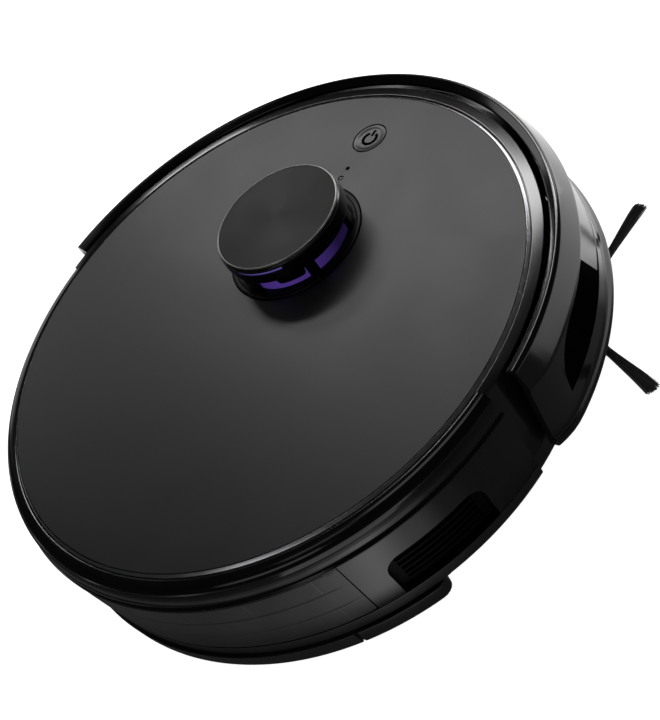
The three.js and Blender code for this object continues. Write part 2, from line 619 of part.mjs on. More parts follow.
// ---- Side brush; its group stands on the floor below the hub ----
// One arm: a slightly curved bar that widens into a tuft of bristles at its tip.
function brushArm(bearing) {
  const lean = (t) => bearing + 9 * (1 - t) ** 2;
  const half = (t) => (t < 0.5 ? 2.9 - 1.8 * t : 2 + 2.3 * ((t - 0.5) / 0.5));
  const edge = (t, sign) => {
    const [x, y] = at(lean(t), 6 + (SIDE_BRUSH.reach - 6) * t);
    const b = rad(lean(t));
    return new THREE.Vector2(x - sign * half(t) * Math.cos(b), y + sign * half(t) * Math.sin(b));
  };
  const steps = [0, 0.17, 0.33, 0.5, 0.67, 0.84, 1];
  const outline = [...steps.map((t) => edge(t, 1)), ...steps.reverse().map((t) => edge(t, -1))];
  return prism(new THREE.Shape(outline), 3.6, 6);
}

function sideBrush() {
  const { arms: bearings, top } = SIDE_BRUSH;
  const hub = turned([[0, 3], [9, 3], [12, 5], [12, 8], [9, top], [0, top]], MEDIUM);
  const shaft = disc(3, top - 1, 21, 0, 0, 16);
  const arms = bearings.map(brushArm);
  const dx = 15;
  const dy = 9;
  const box = prism(beltShape(8, 13, dx, dy), BASE_Z + BASE_THICK + GAP, 40, 10);
  return placed(SIDE_BRUSH.x, SIDE_BRUSH.y, 0,
    mesh('side_brush', join(hub, shaft, ...arms), SKIN.bristle),
    mesh('side_brush_gearbox', box.subtract(disc(3 + RUN, 0, 22, 0, 0, 16)), SKIN.inner));
}

// ---- Fan ----
function fan() {
  const { x: [far, near], y, z, r } = FAN;
  const duct = (inset) => block(
    [-143 - inset, -104 + inset], [50 + inset, 70 - inset], [26 + inset, 46 - inset]);
  const housing = cut(
    join(rod(r, far, near, y, z, MEDIUM), duct(0)),
    rod(r - 2.4, far + 2, near - 2, y, z, MEDIUM),
    duct(2),
    rod(10, near - 5, near + 5, y, z, SMALL),
  );
  const blade = block([near - 14, near - 5], [4, 18.6], [-0.7, 0.7]);
  const blades = [0, 1, 2, 3, 4, 5, 6, 7, 8].map((i) => blade.rotate([i * 40, 0, 0]).translate([0, y, z]));
  const backplate = rod(19, near - 15.6, near - 13.6, y, z, MEDIUM);
  const wheel = join(backplate, rod(6, near - 15, near - 5, y, z), ...blades);
  const motor = join(rod(12, far + 2.3, near - 16.4, y, z), rod(1.5, near - 17, near - 8, y, z, 12));
  return [
    mesh('fan_housing', housing, SKIN.inner),
    mesh('fan_impeller', wheel.subtract(rod(1.9, near - 20, near - 7, y, z, 12)), SKIN.inner),
    mesh('fan_motor', motor, SKIN.steel),
  ];
}

// ---- Dustbin with water tank ----
// The bin's plan: a neck in front, widening to an arc that follows the rear of the body.
function binShape(inset) {
  const neck = BIN.neck - inset;
  const r = BIN.r - inset;
  const y = BIN.y[1] + inset;
  const across = Math.sqrt(r * r - y * y);
  const shape = new THREE.Shape();
  shape.moveTo(-neck, BIN.y[0] + inset);
  shape.lineTo(neck, BIN.y[0] + inset);
  shape.lineTo(neck, y);
  shape.absarc(0, 0, r, Math.atan2(y, across), Math.PI - Math.atan2(y, across));
  shape.lineTo(-neck, y);
  return shape;
}

function dustbin() {
  const [low, high] = BIN.z;
  const outer = prism(binShape(0), low, high, 24);
  const hollow = prism(binShape(2), low + 2, high + 1, 24);
  const partition = block([-108, 108], [126, 128], [low + 1, high]).intersect(outer);
  const inlet = block([-34, 34], [BIN.y[0] - 2, BIN.y[0] + 4], [32, 44]);
  const filterWindow = block([-BIN.neck - 1, -BIN.neck + 3], [59, 87], [31, 55]);
  const bin = join(outer.subtract(hollow), partition);
  return mesh('dustbin_body', cut(bin, inlet, filterWindow), SKIN.inner);
}

const RELEASE = { x: 14, z: [53.5, 62.5] };

function dustbinLid() {
  const lid = prism(binShape(0), BIN.z[1] + GAP, BIN.z[1] + 2.5, 24);
  return mesh('dustbin_lid', lid.subtract(disc(7, 60, 70, 56, 140, SMALL)), SKIN.satin);
}

function rearCover() {
  const cover = sector(162, BODY_R, SEAM_Z + 0.6, 66, 180 - BIN.half, 180 + BIN.half);
  const pocket = block([-RELEASE.x, RELEASE.x], [150, 180], RELEASE.z);
  return mesh('rear_cover', cover.subtract(pocket), SKIN.tank);
}

function releaseButton() {
  const [low, high] = RELEASE.z;
  const slot = block([GAP - RELEASE.x, RELEASE.x - GAP], [150, 180], [low + GAP, high - GAP]);
  return mesh('dustbin_release', ring(163.6, BODY_R - 0.4, 50, 70).intersect(slot), SKIN.satin);
}

// A pleated sheet behind the bin's side window.
function hepaFilter() {
  const shape = new THREE.Shape();
  const pleats = 8;
  const [from, to] = [58, 88];
  const x = GAP + 2 - BIN.neck;
  shape.moveTo(x, from);
  for (let i = 0; i <= pleats; i++) shape.lineTo(x + (i % 2 ? 10 : 6), from + ((to - from) * i) / pleats);
  shape.lineTo(x, to);
  return mesh('hepa_filter', prism(shape, 30, 56), SKIN.filter);
}

// ---- Mop ----
function dShape(r, y) {
  const across = Math.sqrt(r * r - y * y);
  const shape = new THREE.Shape();
  shape.moveTo(-across, y);
  shape.absarc(0, 0, r, Math.atan2(y, across), Math.PI - Math.atan2(y, across));
  return shape;
}

function mop() {
  const [low, high] = MOP.z;
  const bodyOf = (rimIn) => turned([[0, low], [MOP.r - 1.4, low], [MOP.r, low + 2], [MOP.r, MOP.rim],
    [rimIn, MOP.rim], [rimIn, high], [0, high]]);
  const behind = block([-200, 200], [MOP.y, 200], [-5, 30]);
  const pockets = [MOP.latch, MOP.latch.map((b) => 360 - b).reverse()];
  const pocket = ([from, to], r, extra) => sector(r, 180, -5, 30, from - extra, to + extra);
  const body = bodyOf(MOP.ledge + GAP).intersect(behind);
  const mopPlate = cut(body, ...pockets.map((p) => pocket(p, 155, 0.5)));
  const pad = prism(dShape(159, MOP.y + 6), 0.3, low - GAP, 24);
  const latches = pockets.map((p, i) => mesh(i === 0 ? 'mop_latch_right' : 'mop_latch_left',
    bodyOf(MOP.ledge + 3.6).intersect(pocket(p, 158.4, 0)), SKIN.gloss));
  return [mesh('mop_plate', mopPlate, SKIN.tank), mesh('mop_pad', pad, SKIN.pad), ...latches];
}

// ---- Inside ----
function battery() {
  const [y0, y1] = BATTERY.y;
  const middle = (y0 + y1) / 2;
  const cells = prism(roundedRect(2 * BATTERY.x, y1 - y0 - 1, 6), ...BATTERY.z, 4);
  const pack = mesh('battery_pack', cells, SKIN.inner);
  const across = BATTERY.x + 1.7;
  const lid = block([-across, across], [y0 + GAP, y1 - GAP], [BASE_Z, BASE_Z + BASE_THICK]);
  const screws = [-50, 50].map((x) => disc(2.6, BASE_Z - 1, BASE_Z + 1.2, x, middle, 16));
  pack.position.y = middle;
  return [pack, mesh('battery_cover', cut(lid, ...screws), SKIN.satin)];
}

function circuitBoard() {
  const board = block([-66, 66], [-120, -6], [54, 55.6]);
  const places = [
    [-30, -90, 16, 16], [10, -96, 12, 12], [-44, -40, 10, 20], [20, -30, 22, 8], [46, -104, 8, 14],
  ];
  const chip = ([x, y, w, d]) => block([x - w / 2, x + w / 2], [y - d / 2, y + d / 2], [55, 57.2]);
  const chips = places.map(chip);
  return mesh('main_pcb', join(board, ...chips), SKIN.board);
}

function speaker() {
  const low = BASE_Z + BASE_THICK + GAP;
  const profile = [[0, low], [15, low], [15, low + 3], [8, low + 8], [8, low + 11], [0, low + 11]];
  return placed(112, -78, 0, mesh('speaker', turned(profile, MEDIUM), SKIN.inner));
}

const CLIFFS = [-77, -25, 25, 77];
const CLIFF_R = 151;
function cliffBlock(bearing, width, depth, z0, z1) {
  const [x, y] = at(bearing, CLIFF_R);
  const box = new THREE.BoxGeometry(width, depth, z1 - z0).rotateZ(rad(-bearing));
  return solid(box.translate(x, y, (z0 + z1) / 2));
}
const cliffLenses = () => CLIFFS.map((bearing, i) => mesh('cliff_lens_' + (i + 1),
  cliffBlock(bearing, 15.2, 7.2, BASE_Z + 0.2, BASE_Z + 2), SKIN.window));

const chargeContacts = () => SIDES.map(([name, side]) => mesh('charge_contact_' + name,
  mirrored(block([22.4, 45.6], [-133.8, -126.4], [BASE_Z - 0.6, BASE_Z + 1.6]), side), SKIN.steel));

// ---- The robot ----
const robot = new THREE.Group();
robot.add(
  basePan(), sideShell(), topPlate(), trimRing(), powerButton(), statusLamp(), ...exhaustGrilles(),
  ...bumper(), ...bumperSwitches(),
  placed(
    0, TURRET_Y, PLATE_TOP,
    lidarGuard(), lidarCap(), lidarHead(), lidarLens(), lidarBase(), ...lidarDrive(),
  ),
  ...wheelModules(), caster(),
  brushRoller(), brushHousing(), brushGuard(), ...brushDrive(), sideBrush(),
  ...fan(), dustbin(), dustbinLid(), rearCover(), releaseButton(), hepaFilter(), ...mop(),
  ...battery(), circuitBoard(), speaker(), ...cliffLenses(), ...chargeContacts(),
);

// The origin is on the floor below the middle of the whole robot, side brush included.
const middle = new THREE.Box3().setFromObject(robot).getCenter(new THREE.Vector3());
robot.position.set(-middle.x, -middle.y, 0);

export default robot;
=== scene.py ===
import math
import random

import bmesh
import bpy
from mathutils import Matrix, Vector
from mathutils.geometry import tessellate_polygon


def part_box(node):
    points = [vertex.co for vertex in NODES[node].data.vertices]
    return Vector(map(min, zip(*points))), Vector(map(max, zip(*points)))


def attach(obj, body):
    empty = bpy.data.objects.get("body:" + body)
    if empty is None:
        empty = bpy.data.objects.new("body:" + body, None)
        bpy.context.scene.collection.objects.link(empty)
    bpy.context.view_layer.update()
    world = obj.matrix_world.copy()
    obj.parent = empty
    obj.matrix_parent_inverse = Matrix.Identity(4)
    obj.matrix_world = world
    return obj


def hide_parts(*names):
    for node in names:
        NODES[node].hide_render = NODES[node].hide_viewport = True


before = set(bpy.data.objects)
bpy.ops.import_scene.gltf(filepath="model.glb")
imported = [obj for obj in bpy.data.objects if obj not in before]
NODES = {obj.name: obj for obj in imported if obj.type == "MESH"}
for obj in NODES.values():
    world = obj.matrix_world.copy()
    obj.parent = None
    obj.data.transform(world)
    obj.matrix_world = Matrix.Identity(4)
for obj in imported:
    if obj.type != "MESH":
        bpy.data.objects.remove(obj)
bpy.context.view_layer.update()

# A round robot vacuum. Shapes are worked out in millimetres, measured from the body's vertical axis
# on the floor, and placed in the frame in metres. Front is -Y, the robot's right side is -X.
# A bearing is an angle in degrees from the front, turning towards the robot's right side.
MM = 0.001


def middle(node):
    low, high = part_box(node)
    return (low + high) / 2


def top(node):
    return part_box(node)[1].z / MM


AXIS = Vector((middle("top_plate").x, middle("top_plate").y, 0))


def offset(node):
    """The middle of a node from the body's axis, in millimetres."""
    return (middle(node) - AXIS) / MM


# ---- Driving dimensions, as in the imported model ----
PLATE_R = (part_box("top_plate")[1].x - AXIS.x) / MM
PLATE_TOP = top("top_plate")
PLATE_THICK = 2.4
BODY_R = 167.8
FRONT_WALL_R = 163.4
WALL = 2.6
SHOULDER_R = 166
SHOULDER_Z = 68.5
SHOULDER_IN_R = 158.5
SHOULDER_TOP = 79.4
STEP_Z = 67.2
SEAM_Z = 23
BASE_Z = 11
FLOOR_TOP = 13.4
BASE_R = 163
FLOOR_R = 160
FRONT_HALF = 93
VENT = (103, 122.3)
VENT_TOP = 50.5
VENT_CORNER = 3.2
SEAT_IN_R = 149
COVER_FROM = 127.5
COVER_TOP = 65.8

BUMPER_END = 88.5
BUMPER_BOTTOM = 20
CREASE_Z = 68.5
RIM_TOP = 82.8
LIP = (10, 175.6)
CREASE = (0.5, 177.6)
RIM = (1, 170.6)
RIM_FOOT = (2, 165)
WINDOW_HALF = 81.8
WINDOW_TOP = 66.2
WINDOW_LOW = 38.5
WINDOW_CORNER = 8.8
FULLNESS = 2.6
# Where the window turns from glossy smoke to unreflecting black (painted shade), and how that edge leans
# about its middle height.
WINDOW_SHADE_EDGE = 61.4
SHADE_EDGE_LEAN = 0.177
SHADE_EDGE_MIDDLE = 53.5

TURRET_Y = offset("lidar_cap").y
TURRET = (0, TURRET_Y, PLATE_TOP)
BUTTON_Y = offset("power_button").y
BUTTON_R = 10.5
LAMP_Y = offset("status_lamp").y
PINHOLE_Y = LAMP_Y - 7.3
TURRET_HOLE_R = 40.6
POSTS = (0, 60, 118.5, 180, 241.5, 300)
POST_HALF = 4.8
HEAD_R = 31.9
LENS_BEARINGS = (125, 155)
GUARD_IN_R = 33.5
GUARD_R = 37.9
SLIT = (138, 200)
SLIT_Z = (17.2, 18.9)

MOP_R = 169.8
MOP_Y = 76
MOP_LOW = 3.6
MOP_HIGH = 10.7
MOP_RIM = 15
MOP_LATCH = (116, 133)

WHEEL_R = 34
WHEEL_RIM = 28.9
WHEEL_Y = offset("tyre_right").y
PIVOT_Y = -35
CASTER_Y = -126
BRUSH_PLACE = (-124, -87.2)
BRUSH_ARMS = (5.2, 116.6, 241)
BRUSH_REACH = 75.5
# Shares of a quick curve: closest together where it starts.
CURVE = (0, 0.02, 0.08, 0.2, 0.4, 0.7, 1)


# ---- Mesh building ----
def at(bearing, r, z=0.0):
    b = math.radians(bearing)
    return Vector((-r * math.sin(b), -r * math.cos(b), z))


def spread(first, last, step):
    """Even steps from one value to another, both included."""
    count = max(1, math.ceil(abs(last - first) / step - 1e-6))
    return [first + (last - first) * i / count for i in range(count + 1)]


def clamp(value):
    return min(1.0, max(0.0, value))


def ease(value):
    t = clamp(value)
    return t * t * (3 - 2 * t)


def rounded(outline, radius=0.5, steps=3):
    """A closed outline with its corners drawn as short curves. A corner's third number is its own radius."""
    made = []
    count = len(outline)
    for i, corner in enumerate(outline):
        here = Vector(corner[:2])
        size = corner[2] if len(corner) > 2 else radius
        before = Vector(outline[i - 1][:2]) - here
        after = Vector(outline[(i + 1) % count][:2]) - here
        reach = min(size, before.length * 0.48, after.length * 0.48)
        start = here + before.normalized() * reach
        end = here + after.normalized() * reach
        for k in range(steps + 1):
            t = k / steps
            made.append(tuple(start * (1 - t) ** 2 + here * (2 * t * (1 - t)) + end * (t * t)))
    return made


class Skin:
    """A mesh in the making."""

    def __init__(self):
        self.points = []
        self.faces = []

    def loft(self, rows, ring=True, loop=False, caps=True):
        """A skin over rows of points. A ring joins each row's ends, and a loop joins the last row to
        the first."""
        start = len(self.points)
        count = len(rows[0])
        for row in rows:
            self.points.extend(Vector(p) for p in row)
        for i in range(len(rows) if loop else len(rows) - 1):
            here = start + i * count
            there = start + ((i + 1) % len(rows)) * count
            for k in range(count if ring else count - 1):
                n = (k + 1) % count
                self.faces.append((here + k, here + n, there + n, there + k))
        if ring and caps and not loop:
            last = start + (len(rows) - 1) * count
            self.faces.append(tuple(start + k for k in range(count)))
            self.faces.append(tuple(last + k for k in range(count)))
        return self

    def swept(self, section, bearings, loop=False, centre=(0, 0)):
        """A section of (radius, height) points carried round the axis."""
        shift = Vector((*centre, 0))
        rows = [[at(b, r, z) + shift for r, z in section(b)] for b in bearings]
        return self.loft(rows, loop=loop)

    def lathe(self, profile, centre=(0, 0), step=3):
        return self.swept(lambda b: profile, spread(0, 360, step)[:-1], loop=True, centre=centre)

    def slab(self, outer, holes, levels):
        """A plate with holes. Levels are (inset, height) from its underside to its top."""
        loops = [outer, *holes]
        rims = []
        for points in loops:
            rows = []
            for inset, z in levels:
                row = []
                for i, p in enumerate(points):
                    along = Vector(points[(i + 1) % len(points)]) - Vector(points[i - 1])
                    side = Vector((-along.y, along.x)).normalized() * inset
                    row.append(Vector((p[0] + side.x, p[1] + side.y, z)))
                rows.append(row)
            start = len(self.points)
            self.loft(rows, caps=False)
            rims.append((start, len(points), len(levels)))
        for level in (0, len(levels) - 1):
            index = [s + level * n + k for s, n, _ in rims for k in range(n)]
            flat = [[self.points[s + level * n + k] for k in range(n)] for s, n, _ in rims]
            self.faces.extend(tuple(index[k] for k in face) for face in tessellate_polygon(flat))
        return self

    def tube(self, path, radii, sides=4):
        """A thin round bar along a path, with one radius for each of its points."""
        rows = []
        for i, here in enumerate(path):
            along = (path[min(i + 1, len(path) - 1)] - path[max(i - 1, 0)]).normalized()
            across = along.cross(Vector((0, 0, 1)) if abs(along.z) < 0.9 else Vector((1, 0, 0))).normalized()
            up = across.cross(along)
            turn = [2 * math.pi * k / sides for k in range(sides)]
            rows.append([here + (across * math.cos(a) + up * math.sin(a)) * radii[i] for a in turn])
        return self.loft(rows)

    def mapped(self, change):
        self.points = [Vector(change(p)) for p in self.points]
        return self

    def join(self, other):
        start = len(self.points)
        self.points.extend(other.points)
        self.faces.extend(tuple(start + k for k in face) for face in other.faces)
        return self


def circle(x, y, r, count, hole=False):
    """Points round a circle: anticlockwise, or clockwise for a hole."""
    turns = [2 * math.pi * k / count * (-1 if hole else 1) for k in range(count)]
    return [(x + r * math.cos(a), y + r * math.sin(a)) for a in turns]


def box_hole(x, y, w, d, turn=0.0):
    """A rectangular hole, clockwise."""
    c, s = math.cos(math.radians(turn)), math.sin(math.radians(turn))
    corners = [(-w / 2, -d / 2), (-w / 2, d / 2), (w / 2, d / 2), (w / 2, -d / 2)]
    return [(x + u * c - v * s, y + u * s + v * c) for u, v in corners]


def edge_levels(low, high, soft=0.4, under=0.0, steps=4):
    """Levels of a plate whose upper edge is softened, and its lower one too where under is given."""
    levels = []
    quarter = [math.pi / 2 * k / steps for k in range(steps + 1)]
    if under:
        levels += [(under * (1 - math.sin(a)), low + under * (1 - math.cos(a))) for a in quarter]
    else:
        levels.append((0, low))
    levels += [(soft * (1 - math.cos(a)), high - soft * (1 - math.sin(a))) for a in quarter]
    return levels


def box_outline(inner, outer, low, high, soft=0.2, steps=2):
    """A rectangular section from one radius to another."""
    return rounded([(inner, low), (outer, low), (outer, high), (inner, high)], soft, steps)


def linked(name, data, place):
    """A new object in the scene."""
    thing = bpy.data.objects.new(name, data)
    bpy.context.scene.collection.objects.link(thing)
    thing.location = place
    return thing


def shading_group():
    """Smooths faces that meet at a shallow angle and keeps the sharp edges."""
    group = bpy.data.node_groups.new("smooth_by_angle", "GeometryNodeTree")
    group.interface.new_socket("Geometry", in_out="INPUT", socket_type="NodeSocketGeometry")
    group.interface.new_socket("Geometry", in_out="OUTPUT", socket_type="NodeSocketGeometry")
    new = group.nodes.new
    start, end = new("NodeGroupInput"), new("NodeGroupOutput")
    strip = new("GeometryNodeRemoveAttribute")
    strip.inputs["Name"].default_value = "custom_normal"
    faces, edges = new("GeometryNodeSetShadeSmooth"), new("GeometryNodeSetShadeSmooth")
    faces.domain, edges.domain = "FACE", "EDGE"
    bend, test = new("GeometryNodeInputMeshEdgeAngle"), new("FunctionNodeCompare")
    test.operation = "LESS_THAN"
    test.inputs[1].default_value = math.radians(34)
    link = group.links.new
    link(start.outputs[0], strip.inputs["Geometry"])
    link(strip.outputs["Geometry"], faces.inputs["Geometry"])
    link(faces.outputs["Geometry"], edges.inputs["Geometry"])
    link(edges.outputs["Geometry"], end.inputs[0])
    link(bend.outputs["Unsigned Angle"], test.inputs[0])
    link(test.outputs[0], edges.inputs["Shade Smooth"])
    return group


SHADING = shading_group()


def dress(thing, bevel=0.0, segments=2, sharp=40):
    """The finishing steps that every solid gets: softened edges where a bevel is given, and clean normals."""
    if bevel:
        soft = thing.modifiers.new("soften", "BEVEL")
        soft.width = bevel * MM
        soft.segments = segments
        soft.limit_method = "ANGLE"
        soft.angle_limit = math.radians(sharp)
    smooth = thing.modifiers.new("smooth", "NODES")
    smooth.node_group = SHADING
    weighted = thing.modifiers.new("normals", "WEIGHTED_NORMAL")
    weighted.keep_sharp = True


def piece(name, skin, body, finish, replaces=(), origin=(0, 0, 0), bevel=0.0, sharp=40, segments=2):
    """An object from a skin, riding on a body. Its points are measured from its origin."""
    data = bpy.data.meshes.new(name)
    data.from_pydata([p * MM for p in skin.points], [], skin.faces)
    work = bmesh.new()
    work.from_mesh(data)
    bmesh.ops.remove_doubles(work, verts=work.verts, dist=0.004 * MM)
    bmesh.ops.dissolve_degenerate(work, edges=work.edges, dist=0.001 * MM)
    loose = [e for e in work.edges if not e.link_faces]
    bmesh.ops.delete(work, geom=loose, context="EDGES")
    bmesh.ops.recalc_face_normals(work, faces=work.faces)
    work.to_mesh(data)
    work.free()
    thing = linked(name, data, AXIS + Vector(origin) * MM)
    data.materials.append(finish)
    dress(thing, bevel, segments, sharp)
    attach(thing, body)
    if replaces:
        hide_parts(*replaces)
    return thing


def keep(node, finish, bevel=0.35):
    """A CAD node that stays: softened edges and its own finish."""
    thing = NODES[node]
    weld = thing.modifiers.new("weld", "WELD")
    weld.merge_threshold = 0.005 * MM
    flat = thing.modifiers.new("flat", "DECIMATE")
    flat.decimate_type = "DISSOLVE"
    flat.angle_limit = math.radians(0.6)
    dress(thing, bevel)
    for place in thing.material_slots:
        place.material = finish


# ---- Materials ----
def give(node, **values):
    """Sets a node's inputs. An underscore stands for a space in an input's name."""
    for name, value in values.items():
        node.inputs[name.replace("_", " ")].default_value = value


def own_space(tree):
    return tree.nodes.new("ShaderNodeTexCoord").outputs["Object"]


def noise(tree, scale, detail=3.0, stretch=None):
    """Noise in the piece's own space; scale is the size of its spots in millimetres."""
    new, link = tree.nodes.new, tree.links.new
    place = own_space(tree)
    if stretch:
        change = new("ShaderNodeMapping")
        give(change, Scale=stretch)
        link(place, change.inputs["Vector"])
        place = change.outputs["Vector"]
    texture = new("ShaderNodeTexNoise")
    give(texture, Scale=1 / (scale * MM), Detail=detail)
    link(place, texture.inputs["Vector"])
    return texture.outputs["Fac"]


def mapped_range(tree, value, low, high, start=0.3, end=0.7):
    change = tree.nodes.new("ShaderNodeMapRange")
    give(change, From_Min=start, From_Max=end, To_Min=low, To_Max=high)
    tree.links.new(value, change.inputs["Value"])
    return change.outputs["Result"]


def mixed(tree, amount, dark, light):
    mix = tree.nodes.new("ShaderNodeMix")
    mix.data_type = "RGBA"
    give(mix, A=(*dark, 1), B=(*light, 1))
    tree.links.new(amount, mix.inputs["Factor"])
    return mix.outputs["Result"]


def bumped(tree, height, depth):
    bump = tree.nodes.new("ShaderNodeBump")
    give(bump, Distance=depth * MM, Strength=1.0)
    tree.links.new(height, bump.inputs["Height"])
    return bump.outputs["Normal"]


def finish(name, colour, roughness, metallic=0.0, specular=0.5, shade=0.1, blotch=20, uneven=0.03,
           grain=0.5, depth=0.004, stretch=None):
    """A moulded or machined surface: slight unevenness of colour and gloss over a fine grain.

    The sizes of the blotches and of the grain, and the grain's depth, are in millimetres."""
    made = bpy.data.materials.new(name)
    made.use_nodes = True
    tree = made.node_tree
    shader = tree.nodes["Principled BSDF"]
    give(shader, Metallic=metallic, Specular_IOR_Level=specular)
    spots = noise(tree, blotch, 4.0, stretch)
    tint = mixed(tree, mapped_range(tree, spots, 0, 1), [c * (1 - shade) for c in colour],
                 [c * (1 + shade) for c in colour])
    tree.links.new(tint, shader.inputs["Base Color"])
    gloss = mapped_range(tree, spots, max(0.02, roughness - uneven), roughness + uneven)
    tree.links.new(gloss, shader.inputs["Roughness"])
    tree.links.new(bumped(tree, noise(tree, grain, 2.0, stretch), depth), shader.inputs["Normal"])
    return made


def tree_of(made):
    return made.node_tree, made.node_tree.nodes["Principled BSDF"]


def top_satin(name, colour, roughness, grain_depth):
    """The lid's finely textured coating."""
    return finish(name, colour, roughness, shade=0.08, blotch=30, uneven=0.02, grain=0.35, depth=grain_depth)


def spun_satin():
    """The turret cap: a satin disc with faint marks of turning, which gather light into fans."""
    made = finish("cap_satin", (0.0040, 0.0040, 0.0042), 0.42, specular=0.10, shade=0.08, uneven=0.02,
                  grain=0.35)
    tree, shader = tree_of(made)
    give(shader, Anisotropic=0.35)
    tangent = tree.nodes.new("ShaderNodeTangent")
    tangent.direction_type = "RADIAL"
    tangent.axis = "Z"
    tree.links.new(tangent.outputs["Tangent"], shader.inputs["Tangent"])
    return made


# A part that glows though it is no lamp: painted light.
def painted_glow(name, colour, light, strength, roughness=0.3):
    made = finish(name, colour, roughness, shade=0.15, blotch=9, grain=0.6)
    give(tree_of(made)[1], Emission_Color=(*light, 1), Emission_Strength=strength)
    return made


def violet_painted_glow():
    """The turret's head: violet, with a painted glow that is stronger towards its lens. This painted light
    keeps its colour in shade and lightens its lit side.
    """
    made = painted_glow("turret_violet_painted_glow", (0.050, 0.030, 0.20), (0.30, 0.14, 1.0), 0.1, 0.35)
    tree, shader = tree_of(made)
    side = tree.nodes.new("ShaderNodeVectorMath")
    side.operation = "DOT_PRODUCT"
    side.inputs[1].default_value = at(150, 1)
    tree.links.new(own_space(tree), side.inputs[0])
    # Painted glow, rising towards the lens side of the head.
    glow = mapped_range(tree, side.outputs["Value"], 0.035, 0.17, 0.4 * HEAD_R * MM, HEAD_R * MM)
    tree.links.new(glow, shader.inputs["Emission Strength"])
    return made


def woven():
    """Microfibre: short loops in rows over a soft base."""
    made = finish("microfibre", (0.20, 0.21, 0.23), 0.95, specular=0.2, shade=0.25, blotch=5, grain=0.4,
                  depth=0.05)
    tree, shader = tree_of(made)
    give(shader, Sheen_Weight=0.4, Sheen_Roughness=0.5)
    loops = tree.nodes.new("ShaderNodeTexVoronoi")
    give(loops, Scale=1 / (1.1 * MM))
    tree.links.new(own_space(tree), loops.inputs["Vector"])
    tree.links.new(bumped(tree, loops.outputs["Distance"], 0.35), shader.inputs["Normal"])
    return made


def board():
    """Circuit board: solder mask over faint copper tracks."""
    made = finish("solder_mask", (0.010, 0.075, 0.032), 0.35, shade=0.2, blotch=6, grain=0.4, depth=0.01)
    tree, shader = tree_of(made)
    tracks = tree.nodes.new("ShaderNodeTexBrick")
    give(tracks, Scale=1 / (9 * MM), Mortar_Size=0.03, Color1=(0.010, 0.075, 0.032, 1),
         Color2=(0.008, 0.062, 0.027, 1), Mortar=(0.03, 0.16, 0.07, 1))
    tree.links.new(own_space(tree), tracks.inputs["Vector"])
    tree.links.new(tracks.outputs["Color"], shader.inputs["Base Color"])
    return made


PLATE = top_satin("plate_satin", (0.0035, 0.0035, 0.0038), 0.44, 0.008)
CAP = spun_satin()
FOOT = finish("foot_satin", (0.0040, 0.0040, 0.0042), 0.38, specular=0.12, blotch=12)
GLOSS = finish("gloss_black", (0.0030, 0.0030, 0.0032), 0.13, blotch=40, uneven=0.02, grain=3.0, depth=0.0008)
SHELL = finish("shell_black", (0.0030, 0.0031, 0.0031), 0.13, specular=0.4, blotch=40, uneven=0.02, grain=1.2,
               depth=0.0002)
# Black plastic with its reflection nearly taken out: painted shade for the grilles in their recess and the
# switches in the bumper's gap.
RECESS_BLACK_PAINTED_SHADE = finish("recess_black_and_painted_shade", (0.0018, 0.0018, 0.0019), 0.55, specular=0.05, shade=0.2, blotch=8, depth=0.01)
PAN = finish("pan_black", (0.0060, 0.0062, 0.0062), 0.36, specular=0.4, shade=0.12, depth=0.012)
TANK = finish("tank_smoke", (0.0065, 0.0078, 0.0070), 0.30, specular=0.4, shade=0.15, blotch=30, grain=0.7,
              depth=0.006)
TRIM = finish("trim_dark_chrome", (0.62, 0.62, 0.64), 0.25, metallic=1, shade=0.06, blotch=6, depth=0.0005)
EDGE = finish("cap_edge", (0.24, 0.24, 0.23), 0.40, metallic=1, shade=0.06, blotch=6, depth=0.0004)
WINDOW = finish("window_smoke", (0.004, 0.004, 0.005), 0.2, uneven=0.01, grain=4, depth=0.002)
# Nearly unreflecting black: the power sign's inlay, and painted shade on the window's ends.
UNREFLECTING_BLACK_AND_PAINTED_SHADE = finish("unreflecting_black_and_painted_shade", (0.0008, 0.0008, 0.0009), 0.25, specular=0.02, grain=2, depth=0.0005)
give(tree_of(UNREFLECTING_BLACK_AND_PAINTED_SHADE)[1], IOR=1.03)
LENS = finish("lens_black", (0.0012, 0.0012, 0.0014), 0.10, specular=0.25, blotch=5, grain=1, depth=0.002)
LAMP = finish("lamp_grey", (0.045, 0.045, 0.048), 0.3, shade=0.15, blotch=1, grain=0.3)
PURPLE_PAINTED_GLOW = violet_painted_glow()
# Painted glow for the strip in the turret's slit.
STRIP_PAINTED_GLOW = painted_glow("strip_violet_painted_glow", (0.13, 0.09, 0.40), (0.14, 0.10, 0.42), 0.5)
INNER = finish("inner_grey", (0.035, 0.036, 0.038), 0.55, shade=0.12, blotch=12, depth=0.02)
SMOKE = finish("bin_smoke", (0.018, 0.020, 0.021), 0.16, shade=0.15, blotch=18, grain=1.5)
RUBBER = finish("tyre_rubber", (0.010, 0.010, 0.010), 0.75, specular=0.3, shade=0.25, blotch=4, grain=0.35,
                depth=0.04)
BELT = finish("belt_rubber", (0.008, 0.008, 0.008), 0.6, specular=0.3, shade=0.2, blotch=3, grain=0.3,
              depth=0.02)
STEEL = finish("turned_steel", (0.52, 0.52, 0.54), 0.3, metallic=1, shade=0.08, blotch=3, uneven=0.06,
               grain=0.3, depth=0.006, stretch=(0.15, 1, 1))
CONTACT = finish("contact_nickel", (0.66, 0.60, 0.48), 0.22, metallic=1, shade=0.08, blotch=4, grain=0.4)
BRISTLE = finish("bristle_nylon", (0.050, 0.050, 0.051), 0.45, shade=0.8, blotch=0.9, uneven=0.1, grain=0.4,
                 depth=0.03)
MICROFIBRE = woven()
PAPER = finish("filter_paper", (0.62, 0.64, 0.66), 0.92, specular=0.2, shade=0.12, blotch=1.2, grain=0.15,
               depth=0.04, stretch=(1, 1, 0.2))
BOARD = board()


